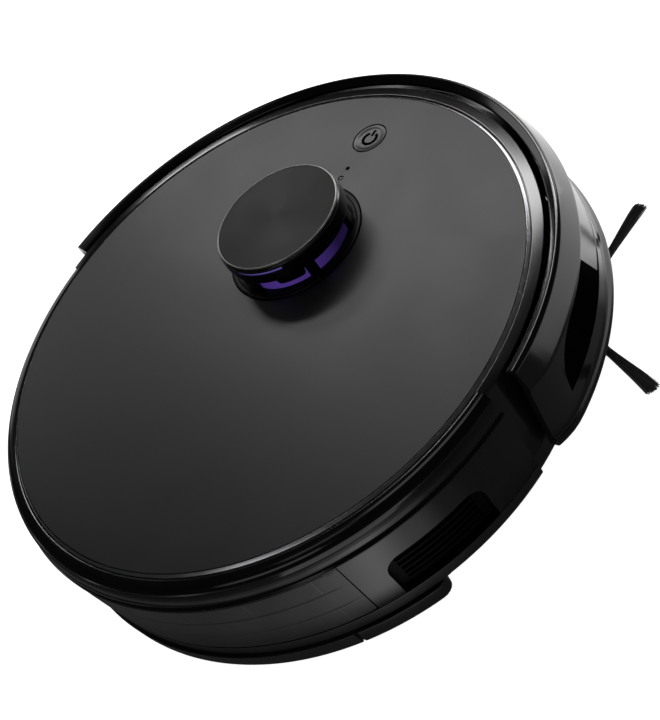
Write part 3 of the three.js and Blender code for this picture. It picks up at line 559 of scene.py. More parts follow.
# ---- The lid ----
def lid():
    holes = [
        circle(0, TURRET_Y, TURRET_HOLE_R, 120, hole=True),
        circle(0, BUTTON_Y, BUTTON_R + 0.3, 64, hole=True),
        circle(0, LAMP_Y, 1.6, 24, hole=True),
        circle(0, PINHOLE_Y, 1.2, 24, hole=True),
    ]
    levels = edge_levels(PLATE_TOP - PLATE_THICK, PLATE_TOP, 0.35)
    skin = Skin().slab(circle(0, 0, PLATE_R, 300), holes, levels)
    piece("lid_plate", skin, "root", PLATE, ["top_plate"])

    low = PLATE_TOP - PLATE_THICK
    profile = rounded([(PLATE_R + 0.3, low), (PLATE_R + 1.8, low), (PLATE_R + 1.8, PLATE_TOP - 1),
                       (PLATE_R + 0.3, PLATE_TOP)], 0.2, 2)
    piece("lid_trim", Skin().lathe(profile, step=1.5), "root", TRIM, ["trim_ring"])

    lamp = rounded([(0, -4, 0), (1.3, -4), (1.3, -0.35), (0.9, -0.1), (0, 0, 0)], 0.2, 2)
    piece("lid_lamp", Skin().lathe(lamp, step=15), "root", LAMP, ["status_lamp"],
          origin=(0, LAMP_Y, PLATE_TOP))


def power_icon():
    """The generic power sign: a broken ring with a bar in its gap, towards the robot's front."""
    ring_r, half = 4.3, 0.7
    bar = [(half, -2.2), (-half, -2.2), (-half, -6.6), (half, -6.6)]
    ring = [at(a, ring_r + half)[:2] for a in spread(34, 326, 6)]
    ring += [at(a, ring_r - half)[:2] for a in spread(326, 34, 6)]
    levels = edge_levels(-0.62, -0.28, 0.12, steps=2)
    return Skin().slab(bar, [], levels).slab(ring, [], levels)


def button():
    rim = BUTTON_R
    profile = rounded([(0, -4.6, 0), (rim + 2, -4.6), (rim + 2, -3.2), (rim, -3.2), (rim, -0.5),
                       (rim - 0.6, 0.1), (rim - 1.9, -0.1), (rim - 3.2, -0.5, 1.5), (0, -0.6, 0)], 0.25, 3)
    place = (0, BUTTON_Y, PLATE_TOP)
    face = top_satin("button_satin", (0.0075, 0.0075, 0.008), 0.36, 0.008)
    piece("button_disc", Skin().lathe(profile, step=5), "power_button", face, ["power_button"],
          origin=place)
    piece("button_icon", power_icon(), "power_button", UNREFLECTING_BLACK_AND_PAINTED_SHADE, origin=place)


# ---- Casing ----
def shoulder(steps=12):
    points = []
    for i in range(steps + 1):
        t = i / steps * math.pi / 2
        r = SHOULDER_IN_R + (SHOULDER_R - SHOULDER_IN_R) * max(0, math.cos(t)) ** 0.7
        points.append((r, SHOULDER_Z + (SHOULDER_TOP - SHOULDER_Z) * math.sin(t) ** 0.7, 0.1))
    return points


def vent_rise(bearing):
    """How far the vent opening rises at a bearing: its upper corners are rounded."""
    b = bearing if bearing < 180 else 360 - bearing
    room = min(b - VENT[0], VENT[1] - b)
    if room <= 0:
        return 0.0
    out = 1 - clamp(room / VENT_CORNER)
    return (VENT_TOP - SEAM_Z) - VENT_CORNER * 2.9 * (1 - math.sqrt(1 - out * out))


def rear_section(bearing):
    low = SEAM_Z + 0.15 + vent_rise(bearing)
    if COVER_FROM - 0.2 < bearing < 360.2 - COVER_FROM:
        low = COVER_TOP + 0.3
    seat = PLATE_TOP - PLATE_THICK - 0.3
    under = seat - 2.6
    lip = PLATE_R + 2.2
    inner_top = max(64, low + 0.2)
    return rounded([(BODY_R, low, 0.35), (BODY_R - 0.1, STEP_Z - 0.7, 0.5),
                    (SHOULDER_R + 0.6, STEP_Z + 0.3, 0.5), (SHOULDER_R + 0.1, STEP_Z + 1.0, 0.3),
                    *shoulder(), (lip, SHOULDER_TOP - 0.3, 0.4),
                    (lip, seat, 0.1), (SEAT_IN_R, seat, 0.1), (SEAT_IN_R, under, 0.1), (162, under, 0.3),
                    (BODY_R - WALL, inner_top + 1, 0.3), (BODY_R - WALL, low, 0.3)], 0.3, 2)


def front_section(bearing):
    low = SEAM_Z + 0.15
    seat = PLATE_TOP - PLATE_THICK - 0.3
    under = seat - 2.6
    lip = PLATE_R + 2.6
    return rounded([(FRONT_WALL_R, low), (FRONT_WALL_R, PLATE_TOP - 0.4, 0.5), (lip, PLATE_TOP - 0.4, 0.3),
                    (lip - 0.4, seat, 0.1), (SEAT_IN_R, seat, 0.1), (SEAT_IN_R, under, 0.1),
                    (FRONT_WALL_R - WALL, under, 0.3), (FRONT_WALL_R - WALL, low)], 0.2, 2)


def vent_bearings():
    """Bearings of the rear half's sections, closer together where the wall's lower edge changes."""
    edges = [VENT[0] - 0.02, VENT[0] + 0.02, VENT[1] - 0.02, VENT[1] + 0.02]
    edges += [COVER_FROM - 0.22, COVER_FROM - 0.18]
    edges += spread(VENT[0], VENT[0] + VENT_CORNER, 0.35) + spread(VENT[1] - VENT_CORNER, VENT[1], 0.35)
    marks = spread(FRONT_HALF, 360 - FRONT_HALF, 1.5) + edges + [360 - b for b in edges]
    return sorted({round(b, 3) for b in marks})


def shell():
    skin = Skin().swept(rear_section, vent_bearings())
    skin.swept(front_section, spread(-FRONT_HALF, FRONT_HALF, 1.5))
    piece("casing_shell", skin, "root", SHELL, ["side_shell"])


def well_hole(side):
    """The wheel well and the slot for its arm, as one outline."""
    inner, outer = 97, 120
    arm_end, back, front, arm_front = WHEEL_Y + 15, WHEEL_Y + 37, WHEEL_Y - 37, PIVOT_Y - 12
    corners = [(86.9, arm_front), (86.9, arm_end), (inner, arm_end), (inner, back), (outer, back),
               (outer, front), (inner + 0.1, front), (inner + 0.1, arm_front)]
    return corners if side > 0 else [(-x, y) for x, y in reversed(corners)]


def pan():
    top_z = SEAM_Z - 0.15
    ledge = MOP_RIM + 0.3
    seam, face, inside = FLOOR_R - 4, FRONT_WALL_R, FRONT_WALL_R - WALL
    front = rounded([(seam, BASE_Z), (BASE_R, BASE_Z), (face, BASE_Z + 1), (face, top_z), (inside, top_z),
                     (inside, FLOOR_TOP), (seam, FLOOR_TOP)], 0.3, 2)
    inside = BODY_R - WALL
    side = rounded([(seam, BASE_Z), (BASE_R, BASE_Z, 1), (BODY_R, BASE_Z + 4.4, 1.5), (BODY_R, top_z),
                    (inside, top_z), (inside, BASE_Z + 6), (BASE_R - 3, FLOOR_TOP),
                    (seam, FLOOR_TOP)], 0.3, 3)
    seam = FLOOR_R - 6
    rear = rounded([(seam, BASE_Z), (FLOOR_R, BASE_Z), (FLOOR_R, ledge), (BODY_R, ledge, 0.4),
                    (BODY_R, top_z, 0.3), (inside, top_z), (inside, ledge + WALL),
                    (FLOOR_R - WALL, ledge + WALL), (FLOOR_R - WALL, FLOOR_TOP), (seam, FLOOR_TOP)], 0.3, 2)
    holes = [
        box_hole(-2, 24, 160, 46), box_hole(0, -49.5, 116, 51),
        circle(0, CASTER_Y, 17, 48, hole=True), circle(*BRUSH_PLACE, 6, 32, hole=True),
        well_hole(1), well_hole(-1), box_hole(34, -130.1, 24, 8.2), box_hole(-34, -130.1, 24, 8.2),
    ]
    for bearing in (-77, -25, 25, 77):
        x, y, _ = at(bearing, 151)
        holes.append(box_hole(x, y, 16, 8, -bearing))
    skin = Skin().slab(circle(0, 0, FLOOR_R - 2, 240), holes, edge_levels(BASE_Z, FLOOR_TOP, 0.2))
    skin.swept(lambda b: front, spread(-FRONT_HALF, FRONT_HALF, 2))
    mop_from = MOP_LATCH[0] - 1
    skin.swept(lambda b: side, spread(FRONT_HALF, mop_from, 1.5))
    skin.swept(lambda b: side, spread(360 - mop_from, 360 - FRONT_HALF, 1.5))
    skin.swept(lambda b: rear, spread(mop_from, 360 - mop_from, 1.5))
    socket = rounded([(17, 12), (20, 12), (20, 36), (4.4, 36), (4.4, 33.6), (17, 33.6)], 0.4, 2)
    skin.lathe(socket, (0, CASTER_Y), 6)
    for bearing in (-98, -38, 38, 98):
        x, y, _ = at(bearing, 155)
        skin.lathe(rounded([(0, 12, 0), (3.5, 12), (3.5, 74.3), (0, 74.3, 0)], 0.4, 2), (x, y), 20)
    for side_sign in (1, -1):
        for x in (84.2, 97.4):
            outline = [(PIVOT_Y + y, z) for y, z in ((-6, 12), (6, 12), (6, 46), (3, 52), (-3, 52), (-6, 46))]
            hole = circle(PIVOT_Y, 46, 2.2, 20, hole=True)
            ear = Skin().slab(outline, [hole], edge_levels(x, x + 2.4, 0.3, 0.3, 2))
            skin.join(ear.mapped(lambda p: (p.z * side_sign, p.x, p.y)))
    piece("pan_shell", skin, "root", PAN, ["base_pan"])


def grille(name, node, first, last):
    """A louvred panel behind a vent opening."""
    low, high = SEAM_Z + 0.5, VENT_TOP + 2.4
    inner, outer = 161.9, 164.0
    skin = Skin()
    bearings = spread(first, last, 1.0)
    post = box_outline(inner, outer, low, high, 0.3)
    for start, end in ((first, first + 3.4), (last - 3.4, last)):
        skin.swept(lambda b: post, spread(start, end, 1.0))
    for start, end in ((low, low + 3.4), (high - 4.2, high)):
        bar = box_outline(inner, outer, start, end, 0.3)
        skin.swept(lambda b: bar, bearings)
    for row in range(5):
        z = SEAM_Z + 6.0 + row * 4
        slat = rounded([(inner, z + 0.7), (outer, z - 0.2), (outer, z + 1.2), (inner, z + 2.1)], 0.3, 2)
        skin.swept(lambda b: slat, bearings)
    piece(name, skin, "root", RECESS_BLACK_PAINTED_SHADE, [node])


def cover():
    """The rear cover, with shallow staggered grooves and a pocket for its release."""
    low, high = SEAM_Z + 0.6, COVER_TOP
    rows = (low + 14, low + 28.5)
    groove, side = 0.16, 0.5
    pocket_half = math.degrees(14 / BODY_R)
    pocket = (53.5, 62.5)
    columns = []
    for first in (132, 138, 132):
        line = [first + 12 * k for k in range(9)]
        columns.append([b for b in line if COVER_FROM + 2 < b < 358 - COVER_FROM])
    turn = math.degrees(side / BODY_R)

    def row_of(z):
        return sum(z > edge for edge in rows)

    def depth(bearing, z):
        if abs(bearing - 180) < pocket_half + 0.01 and pocket[0] - 0.01 < z < pocket[1] + 0.01:
            return 4.6
        if z <= low + 0.01 or z >= high - 0.01:
            return 0.5
        if any(abs(z - edge) < 0.01 for edge in rows):
            return groove
        near_row = any(abs(z - edge) < side + 0.01 for edge in rows)
        if not near_row and any(abs(bearing - b) < 0.01 for b in columns[row_of(z)]):
            return groove
        return 0.0

    heights = {low, low + 0.5, high - 0.5, high, pocket[0] - 0.04, pocket[0], pocket[1], pocket[1] + 0.04}
    heights |= {edge + side * k for edge in rows for k in range(-2, 3)}
    heights = sorted(heights)
    first, last = COVER_FROM + 0.1, 359.9 - COVER_FROM
    marks = {round(b, 4) for b in spread(first, last, 1.5)}
    for b in {b for line in columns for b in line}:
        marks |= {round(b - turn, 4), b, round(b + turn, 4)}
    for edge in (180 - pocket_half, 180 + pocket_half):
        marks |= {round(edge - 0.014, 4), round(edge + 0.014, 4)}

    def section(bearing):
        shrink = 0.5 if bearing in (first, last) else 0.0
        outside = [(BODY_R - max(shrink, depth(bearing, z)), z) for z in heights]
        return [*outside, (162, high), (162, low)]

    skin = Skin().swept(section, sorted(b for b in marks if first <= b <= last))
    piece("tank_cover", skin, "dustbin", TANK, ["rear_cover"])

    def key(bearing):
        inner, face = BODY_R - 3, BODY_R - 0.5
        start, end = pocket[0] + 0.35, pocket[1] - 0.35
        return rounded([(inner, start), (face, start), (face, pocket[0] + 3), (face - 0.6, sum(pocket) / 2),
                        (face, pocket[1] - 3), (face, end), (inner, end)], 0.5, 3)

    reach = pocket_half - 0.14
    skin = Skin().swept(key, spread(180 - reach, 180 + reach, 0.8))
    piece("release_key", skin, "dustbin_release", PAN, ["dustbin_release"], bevel=0.4, sharp=60)


# ---- Bumper ----
def reach_of(circle_of, bearing):
    shift, r = circle_of
    b = math.radians(bearing)
    return shift * math.cos(b) + math.sqrt(r * r - (shift * math.sin(b)) ** 2)


def tuck(bearing):
    return 3.2 * max(0, (abs(bearing) - 83) / 5.5) ** 2


def face_r(bearing, z):
    crease = reach_of(CREASE, bearing) - 1.2
    lip = reach_of(LIP, bearing) - 2.4
    return crease + (lip - crease) * (CREASE_Z - z) / (CREASE_Z - 26) - tuck(bearing)


def window_edges(bearing, grow):
    inward = (WINDOW_HALF + grow / 3 - abs(bearing)) / WINDOW_CORNER
    out = 1 - clamp(inward)
    rise = (1 - out ** FULLNESS) ** (1 / FULLNESS)
    return WINDOW_LOW - grow, WINDOW_LOW + (WINDOW_TOP - WINDOW_LOW) * rise + grow


def bumper_section(bearing):
    lip = reach_of(LIP, bearing) - tuck(bearing)
    crease = reach_of(CREASE, bearing) - tuck(bearing)
    crest = reach_of(RIM, bearing)
    foot = reach_of(RIM_FOOT, bearing)
    low, high = window_edges(bearing, 0.25)
    depth = 1.3 if abs(bearing) <= WINDOW_HALF + 0.09 else 0.0

    def face(z, inset=0.0):
        return face_r(bearing, z) - inset, z

    base = BUMPER_BOTTOM
    outside = [(lip - 2, base, 0.8), (lip, base + 2, 1.5), (lip, base + 4.5, 1.5), (*face(28), 2),
               (*face(low), 0.2), (*face(low, depth), 0.1), (*face(high, depth), 0.1),
               (*face(high), 0.2), (*face(66.9), 0.3), (crease, CREASE_Z, 0.9),
               (crease - 0.5, CREASE_Z + 1.6, 0.9), (crest + 1.2, RIM_TOP - 1.2, 1.2), (crest, RIM_TOP, 0.7),
               (crest - 1.2, RIM_TOP - 0.2, 0.8), (foot + 0.8, RIM_TOP - 2.6, 0.5),
               (foot, RIM_TOP - 3.4, 0.4)]
    inside = [(foot, RIM_TOP - 5), (crest - 1, RIM_TOP - 3.6), (crease - 4.2, CREASE_Z), face(62, 3.4),
              face(28, 3.4), (foot + 0.8, base + 2.4), (foot + 0.8, base)]
    return rounded(outside + inside, 0.3, 3)


def end_marks(half):
    """Bearings that follow the quick curve at each end of the window."""
    shares = (0, 0.0005, 0.002, 0.006, 0.015, 0.03, 0.06, 0.1, 0.16, 0.24, 0.34, 0.46, 0.6, 0.76, 0.9, 1)
    return [half - WINDOW_CORNER * s for s in shares]


def bumper():
    marks = set(spread(-BUMPER_END, BUMPER_END, 1.5))
    marks = {m for m in marks if abs(m) < 73 or abs(m) > 82.4}
    for m in (*end_marks(WINDOW_HALF + 0.25 / 3), WINDOW_HALF + 0.1, WINDOW_HALF + 0.5, 88.2, 88.4):
        marks |= {m, -m}
    skin = Skin().swept(bumper_section, sorted(marks))
    piece("bumper_skin", skin, "bumper", GLOSS, ["bumper_shell"], bevel=0.7, sharp=80,
          segments=3)

    window_band("window_front", spread(-WINDOW_SHADE_EDGE, WINDOW_SHADE_EDGE, 1.5), WINDOW, ["bumper_window"])
    # Past the shade edge the window's ends are unreflecting black: painted shade.
    ends = spread(WINDOW_SHADE_EDGE + 0.08, WINDOW_HALF - WINDOW_CORNER, 1.0)
    ends = sorted(set(ends + end_marks(WINDOW_HALF)))
    window_band("window_right_painted_shade", ends, UNREFLECTING_BLACK_AND_PAINTED_SHADE)
    window_band("window_left_painted_shade", [-b for b in ends], UNREFLECTING_BLACK_AND_PAINTED_SHADE)


def window_band(name, bearings, made_of, replaces=()):
    """A stretch of the window. Its three parts meet along slanted lines: glossy smoke in front, and
    unreflecting black at the two ends, which is painted shade.
    """
    rows = []
    for bearing in bearings:
        low, high = window_edges(bearing, 0)
        near_shade_edge = 1 - clamp(abs(abs(bearing) - WINDOW_SHADE_EDGE) / 9)
        row = []
        for out, z in box_outline(-1.25, -0.3, low, high, 0.25, 3):
            lean = SHADE_EDGE_LEAN * (z - SHADE_EDGE_MIDDLE) * near_shade_edge
            b = bearing + lean * (1 if bearing > 0 else -1)
            row.append(at(b, face_r(bearing, z) + out, z))
        rows.append(row)
    piece(name, Skin().loft(rows), "bumper", made_of, replaces)


# ---- Laser turret; heights from the lid's top face ----
def guard():
    foot = rounded([(GUARD_IN_R, -2.2), (40, -2.2), (40, 0.1, 0.3), (39.2, 0.6, 0.5), (GUARD_R, 0.65, 0.3),
                    (37.6, 0.25, 0.2), (37.2, 0.25, 0.2), (36.9, 1.0, 0.4), (GUARD_IN_R, 1)], 0.3, 3)
    piece("turret_foot", Skin().lathe(foot, step=3), "root", FOOT, origin=TURRET)
    skin = Skin()
    post = box_outline(GUARD_IN_R, 37.2, 0.5, 11)
    for middle_of in POSTS:
        skin.swept(lambda b: post, spread(middle_of - POST_HALF, middle_of + POST_HALF, 0.8))
    low, high = SLIT_Z

    def band(bearing):
        back = GUARD_R - (1.5 if SLIT[0] <= bearing <= SLIT[1] else 0.0)
        return rounded([(GUARD_IN_R, 10.5), (37.4, 10.5, 0.5), (GUARD_R, 12, 1), (GUARD_R, low, 0.1),
                        (back, low, 0.05), (back, high, 0.05), (GUARD_R, high, 0.1), (GUARD_R, 20, 0.4),
                        (37.3, 20.6, 0.4), (GUARD_IN_R, 20.6)], 0.2, 3)

    marks = spread(0, 357, 3) + [SLIT[0] - 0.05, SLIT[0], SLIT[1], SLIT[1] + 0.05]
    skin.swept(band, sorted(marks), loop=True)
    piece("turret_guard", skin, "root", GLOSS, ["lidar_guard"], origin=TURRET)

    # A glowing violet strip in the slit: painted light standing in for the violet head behind it.
    light = box_outline(36.5, 37.2, low + 0.05, high - 0.05)
    strip = Skin().swept(lambda b: light, spread(SLIT[0] + 0.3, SLIT[1] - 0.3, 3))
    piece("turret_strip_painted_glow", strip, "root", STRIP_PAINTED_GLOW, origin=TURRET)


def cap():
    disc = rounded([(0, 18.4, 0), (33, 18.4), (33, 20.9), (35.9, 20.9), (35.9, 21.55, 0.3), (33, 21.5, 2),
                    (20, 21.38, 5), (0, 21.3, 0)], 0.3, 3)
    piece("turret_cap", Skin().lathe(disc, step=3), "root", CAP, ["lidar_cap"], origin=TURRET)
    edge = rounded([(35.95, 20.9), (36.9, 20.9, 0.3), (36.9, 21.3, 0.3), (36.3, 21.8, 0.3),
                    (35.95, 21.75, 0.15)], 0.2, 3)
    piece("turret_cap_edge", Skin().lathe(edge, step=1.5), "root", EDGE, origin=TURRET)


def head():
    profile = rounded([(0, -9.8, 0), (3, -9.8), (3, -7), (22, -7), (22, -6.4), (20.6, -5.9), (20.6, -3.9),
                       (22, -3.4), (22, -2.8), (18, -2.8), (18, -1.8), (HEAD_R, -1.8, 0.8),
                       (HEAD_R, 16.6, 0.4), (0, 16.6, 0)], 0.3, 3)
    piece("turret_head", Skin().lathe(profile, step=3), "lidar_rotor", PURPLE_PAINTED_GLOW,
          ["lidar_head"], origin=TURRET)
    low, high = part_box("lidar_lens")
    base, crown = low.z / MM - PLATE_TOP, high.z / MM - PLATE_TOP
    first, last = LENS_BEARINGS
    back, face = HEAD_R + 0.3, HEAD_R + 1.2

    def lens(bearing):
        out = 1 - clamp(min(bearing - first, last - bearing) / 4)
        rise = 3.4 * (1 - math.sqrt(1 - out * out))
        return box_outline(back, face, base + rise, crown, 0.3, 3)

    marks = [first + 4 * s for s in CURVE] + spread(first + 5, last - 5, 1.5)
    marks += [last - 4 * s for s in reversed(CURVE)]
    piece("turret_lens", Skin().swept(lens, marks), "lidar_rotor", LENS, ["lidar_lens"],
          origin=TURRET)


# ---- Wheels and brushes ----
def tyre(side_name):
    place = offset("tyre_" + side_name)
    half = 10
    lugs = 20

    def radius(angle, x):
        phase = (angle * lugs / 360 + 0.55 * abs(x) / half) % 1
        wall = ease((0.5 - abs(phase - 0.5) - 0.10) / 0.07)
        crown = 0.9 * max(0, (abs(x) - 7.6) / 2.4) ** 2
        return WHEEL_R - 1.5 * (1 - wall) - crown - (0.5 if abs(x) < 0.4 else 0)

    across = [-half, -9.7, -9, -8, -6.5, -5, -3.5, -2, -0.8, -0.3, 0.3, 0.8, 2, 3.5, 5, 6.5, 8, 9, 9.7, half]
    rows = []
    for angle in spread(0, 360, 1.5)[:-1]:
        a = math.radians(angle)
        outside = [(x, radius(angle, x)) for x in across]
        section = [*outside, (half, WHEEL_RIM), (-half, WHEEL_RIM)]
        rows.append([Vector((x, r * math.cos(a), r * math.sin(a))) for x, r in section])
    piece("tread_" + side_name, Skin().loft(rows, loop=True), "wheel_" + side_name, RUBBER,
          ["tyre_" + side_name], origin=place)


def arm_bearing(first, share):
    return first + 9 * (1 - share) ** 2


def arm_half(share):
    return 2.9 - 1.8 * share if share < 0.5 else 2 + 4.6 * (share - 0.5)


def side_brush():
    """A hub with three rubber arms, each holding a tuft that fans out towards its tip."""
    place = (*BRUSH_PLACE, 0)
    hub = rounded([(0, 3, 0), (9, 3), (12, 5, 1), (12, 8, 1.5), (9, 10.4, 1.5), (3, 10.4, 0.4), (3, 21),
                   (0, 21, 0)], 0.4, 4)
    rubber = Skin().lathe(hub, step=5)
    hairs = Skin()
    draw = random.Random(7)
    mid_z = 4.8
    held = 0.45

    def point(first, share, sideways, up):
        b = arm_bearing(first, share)
        centre = at(b, 6 + (BRUSH_REACH - 6) * share, mid_z + up)
        a = math.radians(b)
        return centre + Vector((-math.cos(a), math.sin(a), 0)) * sideways

    for first in BRUSH_ARMS:
        rows = []
        for share in spread(0, held, 0.03):
            w = arm_half(share)
            h = 1.15 * (1 - 0.15 * share)
            if share > held - 0.02:
                w, h = w * 0.93, h * 0.8
            corner = box_outline(-w, w, -h, h, 0.8, 3)
            rows.append([point(first, share, u, v) for u, v in corner])
        rubber.loft(rows)
        for _ in range(150):
            u, v = draw.uniform(-1, 1), draw.uniform(-1, 1)
            reach = 1 - 0.05 * draw.random() ** 2 - 0.02 * u * u
            wave, phase = draw.uniform(0, 0.25), draw.uniform(0, 6.3)
            path = []
            for share in spread(held - 0.05, reach, 0.09):
                wide = 0.93 * arm_half(share)
                sway = wave * math.sin(phase + 9 * share) * (share - held)
                path.append(point(first, share, u * wide + sway, v * 0.95))
            thick = [0.17 - 0.05 * i / len(path) for i in range(len(path))]
            hairs.tube(path, thick, sides=4)
    piece("whisk_hub", rubber, "side_brush", RUBBER, ["side_brush"], origin=place)
    piece("whisk_bristles", hairs, "side_brush", BRISTLE, origin=place)


def roller():
    """The main brush: a core with three soft blades and three rows of tufts, all running in spirals."""
    place = offset("brush_roller")
    left, right, blade_r, root_r = 78, -78, 17.7, 8
    core = rounded([(0, right - 7, 0), (3, right - 7), (3, right), (9, right), (9, left), (3, left),
                    (3, left + 7), (0, left + 7, 0)], 0.6, 2)
    skin = Skin().lathe(core, step=10).mapped(lambda p: (p.z, p.x, p.y))
    hairs = Skin()
    draw = random.Random(3)

    def spiral(x, r, turn):
        a = math.radians(turn + 0.55 * x)
        return Vector((x, r * math.cos(a), r * math.sin(a)))

    for turn in (0, 120, 240):
        rows = []
        for x in spread(right + 2, left - 2, 3):
            outline = rounded([(root_r, -1.5), (blade_r, -0.6), (blade_r, 0.6), (root_r, 1.5)], 0.5, 2)
            across = spiral(0, 1, turn + 90 + 0.55 * x)
            rows.append([spiral(x, r, turn) + across * w for r, w in outline])
        skin.loft(rows)
        for x in spread(right + 4, left - 4, 1.6):
            for _ in range(5):
                lean = draw.uniform(-5, 5)
                step = x + draw.uniform(-0.6, 0.6)
                reach = (root_r, 11.5, 15, 17.8)
                path = [spiral(step, r, turn + 60 + lean * (r - root_r) / 10) for r in reach]
                hairs.tube(path, [0.2, 0.18, 0.16, 0.12], sides=3)
    piece("roller_core", skin, "main_brush", RUBBER, ["brush_roller"], origin=place)
    piece("roller_bristles", hairs, "main_brush", BRISTLE, origin=place)


# ---- Mop ----
def chord(bearing):
    return -MOP_Y / math.cos(math.radians(bearing))


def mop():
    start, end = MOP_LATCH
    pocket = (start - 0.5, end + 0.5)
    cut_r = 154.8

    def tray(bearing):
        inner = chord(bearing)
        if pocket[0] <= min(bearing, 360 - bearing) <= pocket[1]:
            outline = [(inner, MOP_LOW), (cut_r, MOP_LOW), (cut_r, MOP_LOW + 1), (cut_r, MOP_HIGH - 0.6),
                       (cut_r, MOP_HIGH), (cut_r - 0.1, MOP_HIGH), (inner, MOP_HIGH)]
        else:
            rim = FLOOR_R + 0.3
            outline = [(inner, MOP_LOW), (MOP_R - 1.6, MOP_LOW, 1.2), (MOP_R, MOP_LOW + 2.2, 1.2),
                       (MOP_R, MOP_RIM, 0.4), (rim, MOP_RIM), (rim, MOP_HIGH), (inner, MOP_HIGH)]
        return rounded(outline, 0.25, 3)

    first = math.degrees(math.acos(-MOP_Y / (cut_r - 0.4)))
    marks = spread(first, 360 - first, 1.5)
    for edge in (pocket[1], 360 - pocket[1]):
        marks += [edge - 0.02, edge + 0.02]
    piece("mop_tray", Skin().swept(tray, sorted(marks)), "mop", TANK, ["mop_plate"])

    def latch(bearing):
        nose = 1 - clamp((bearing - start) / 2.4)
        tail = 1 - clamp((end - bearing) / 0.5)
        r = MOP_R - 5.5 * (1 - math.sqrt(1 - nose * nose)) - 0.5 * (1 - math.sqrt(1 - tail * tail))
        return rounded([(158.4, MOP_LOW), (r - 1.6, MOP_LOW, 1.4), (r, MOP_LOW + 2.2, 1.4), (r, MOP_RIM, 0.7),
                        (163.7, MOP_RIM, 0.3), (163.7, MOP_HIGH), (158.4, MOP_HIGH)], 0.3, 3)

    marks = [start + 2.4 * s for s in CURVE] + spread(start + 3, end - 1, 1.0)
    marks += [end - 0.5 * s for s in (1, 0.6, 0.3, 0.1, 0)]
    for name, mirror in (("right", 1), ("left", -1)):
        skin = Skin().swept(latch, marks).mapped(lambda p: (p.x * mirror, p.y, p.z))
        piece("latch_" + name, skin, "mop_latch_" + name, PAN, ["mop_latch_" + name])


def pad():
    """The mop pad: a padded sheet with a stitched channel along its edge."""
    r, y = 159, MOP_Y + 6
    low, high = 0.35, MOP_LOW - 0.3
    first = math.degrees(math.acos(-y / r))
    outline = [at(b, r)[:2] for b in spread(360 - first, first, 2)]
    start, end = outline[-1][0], outline[0][0]
    outline += [(start + (end - start) * k / 60, y) for k in range(1, 60)]
    edge = [(6.2, 0), (4.4, 0.1), (3.6, 0.5), (2.8, 0.1), (1.6, 0.05), (0.5, 0.4)]
    levels = [(7.5, low + 0.25), *((inset, low + rise) for inset, rise in edge), (0, (low + high) / 2),
              *((inset, high - rise) for inset, rise in reversed(edge)), (7.5, high)]
    area = sum(a[0] * b[1] - b[0] * a[1] for a, b in zip(outline, outline[1:] + outline[:1]))
    if area < 0:
        outline.reverse()
    soft = piece("mop_cloth", Skin().slab(outline, [], levels), "mop", MICROFIBRE, ["mop_pad"])


# ---- Pieces kept from the frame ----
KEPT = {
    PAN: ("battery_cover", "brush_guard", "dustbin_lid"),
    SMOKE: ("dustbin_body",),
    INNER: ("wheel_hub_left", "wheel_hub_right", "wheel_gearbox_left", "wheel_gearbox_right", "caster_fork",
            "brush_housing", "brush_gearbox", "side_brush_gearbox", "fan_housing", "fan_impeller", "speaker",
            "battery_pack", "lidar_base"),
    # Painted shade: these switches sit in the dark gap behind the bumper.
    RECESS_BLACK_PAINTED_SHADE: ("bumper_switch_left", "bumper_switch_right"),
    STEEL: ("suspension_pin_left", "suspension_pin_right", "caster_axle", "lidar_motor", "lidar_pulley",
            "brush_motor", "fan_motor"),
    RUBBER: ("caster_wheel",),
    BELT: ("lidar_belt",),
    CONTACT: ("charge_contact_left", "charge_contact_right"),
    LENS: ("cliff_lens_1", "cliff_lens_2", "cliff_lens_3", "cliff_lens_4"),
    BOARD: ("main_pcb",),
    PAPER: ("hepa_filter",),
}


def kept_nodes():
    for made_of, names in KEPT.items():
        for node in names:
            keep(node, made_of, 0.15 if node in ("lidar_pulley", "lidar_belt", "hepa_filter") else 0.35)


# ---- Studio ----
def studio_floor():
    data = bpy.data.meshes.new("studio_floor")
    size = 4.0
    corners = [(-size, -size, 0), (size, -size, 0), (size, size, 0), (-size, size, 0)]
    data.from_pydata(corners, [], [(0, 1, 2, 3)])
    floor = linked("studio_floor", data, AXIS)
    made = finish("studio_white", (0.80, 0.80, 0.80), 0.8, specular=0.1, shade=0.01, blotch=200, grain=2,
                  depth=0.01)
    give(tree_of(made)[1], Emission_Color=(1, 1, 1, 1), Emission_Strength=1.0)
    data.materials.append(made)


def toward(bearing, elevation):
    e = math.radians(elevation)
    return at(bearing, math.cos(e), math.sin(e))


AIM = (0, 0, 60)


def softbox(name, bearing, elevation, distance, width, height, radiance):
    """A soft panel that faces the robot. Its strength is the brightness of its face."""
    lamp = bpy.data.lights.new(name, "AREA")
    lamp.shape = "RECTANGLE"
    lamp.size, lamp.size_y = width, height
    lamp.energy = radiance * math.pi * width * height
    back = toward(bearing, elevation)
    panel = linked(name, lamp, AXIS + Vector(AIM) * MM + back * distance)
    panel.rotation_euler = back.to_track_quat("Z", "Y").to_euler()
    panel.visible_camera = False


def studio_world():
    """White to the camera, dim for the light that it gives."""
    world = bpy.data.worlds.new("studio_world")
    bpy.context.scene.world = world
    world.use_nodes = True
    tree = world.node_tree
    background = tree.nodes["Background"]
    path = tree.nodes.new("ShaderNodeLightPath")
    mix = tree.nodes.new("ShaderNodeMix")
    mix.data_type = "RGBA"
    give(mix, A=(0.02, 0.02, 0.02, 1), B=(1, 1, 1, 1))
    tree.links.new(path.outputs["Is Camera Ray"], mix.inputs["Factor"])
    tree.links.new(mix.outputs["Result"], background.inputs["Color"])


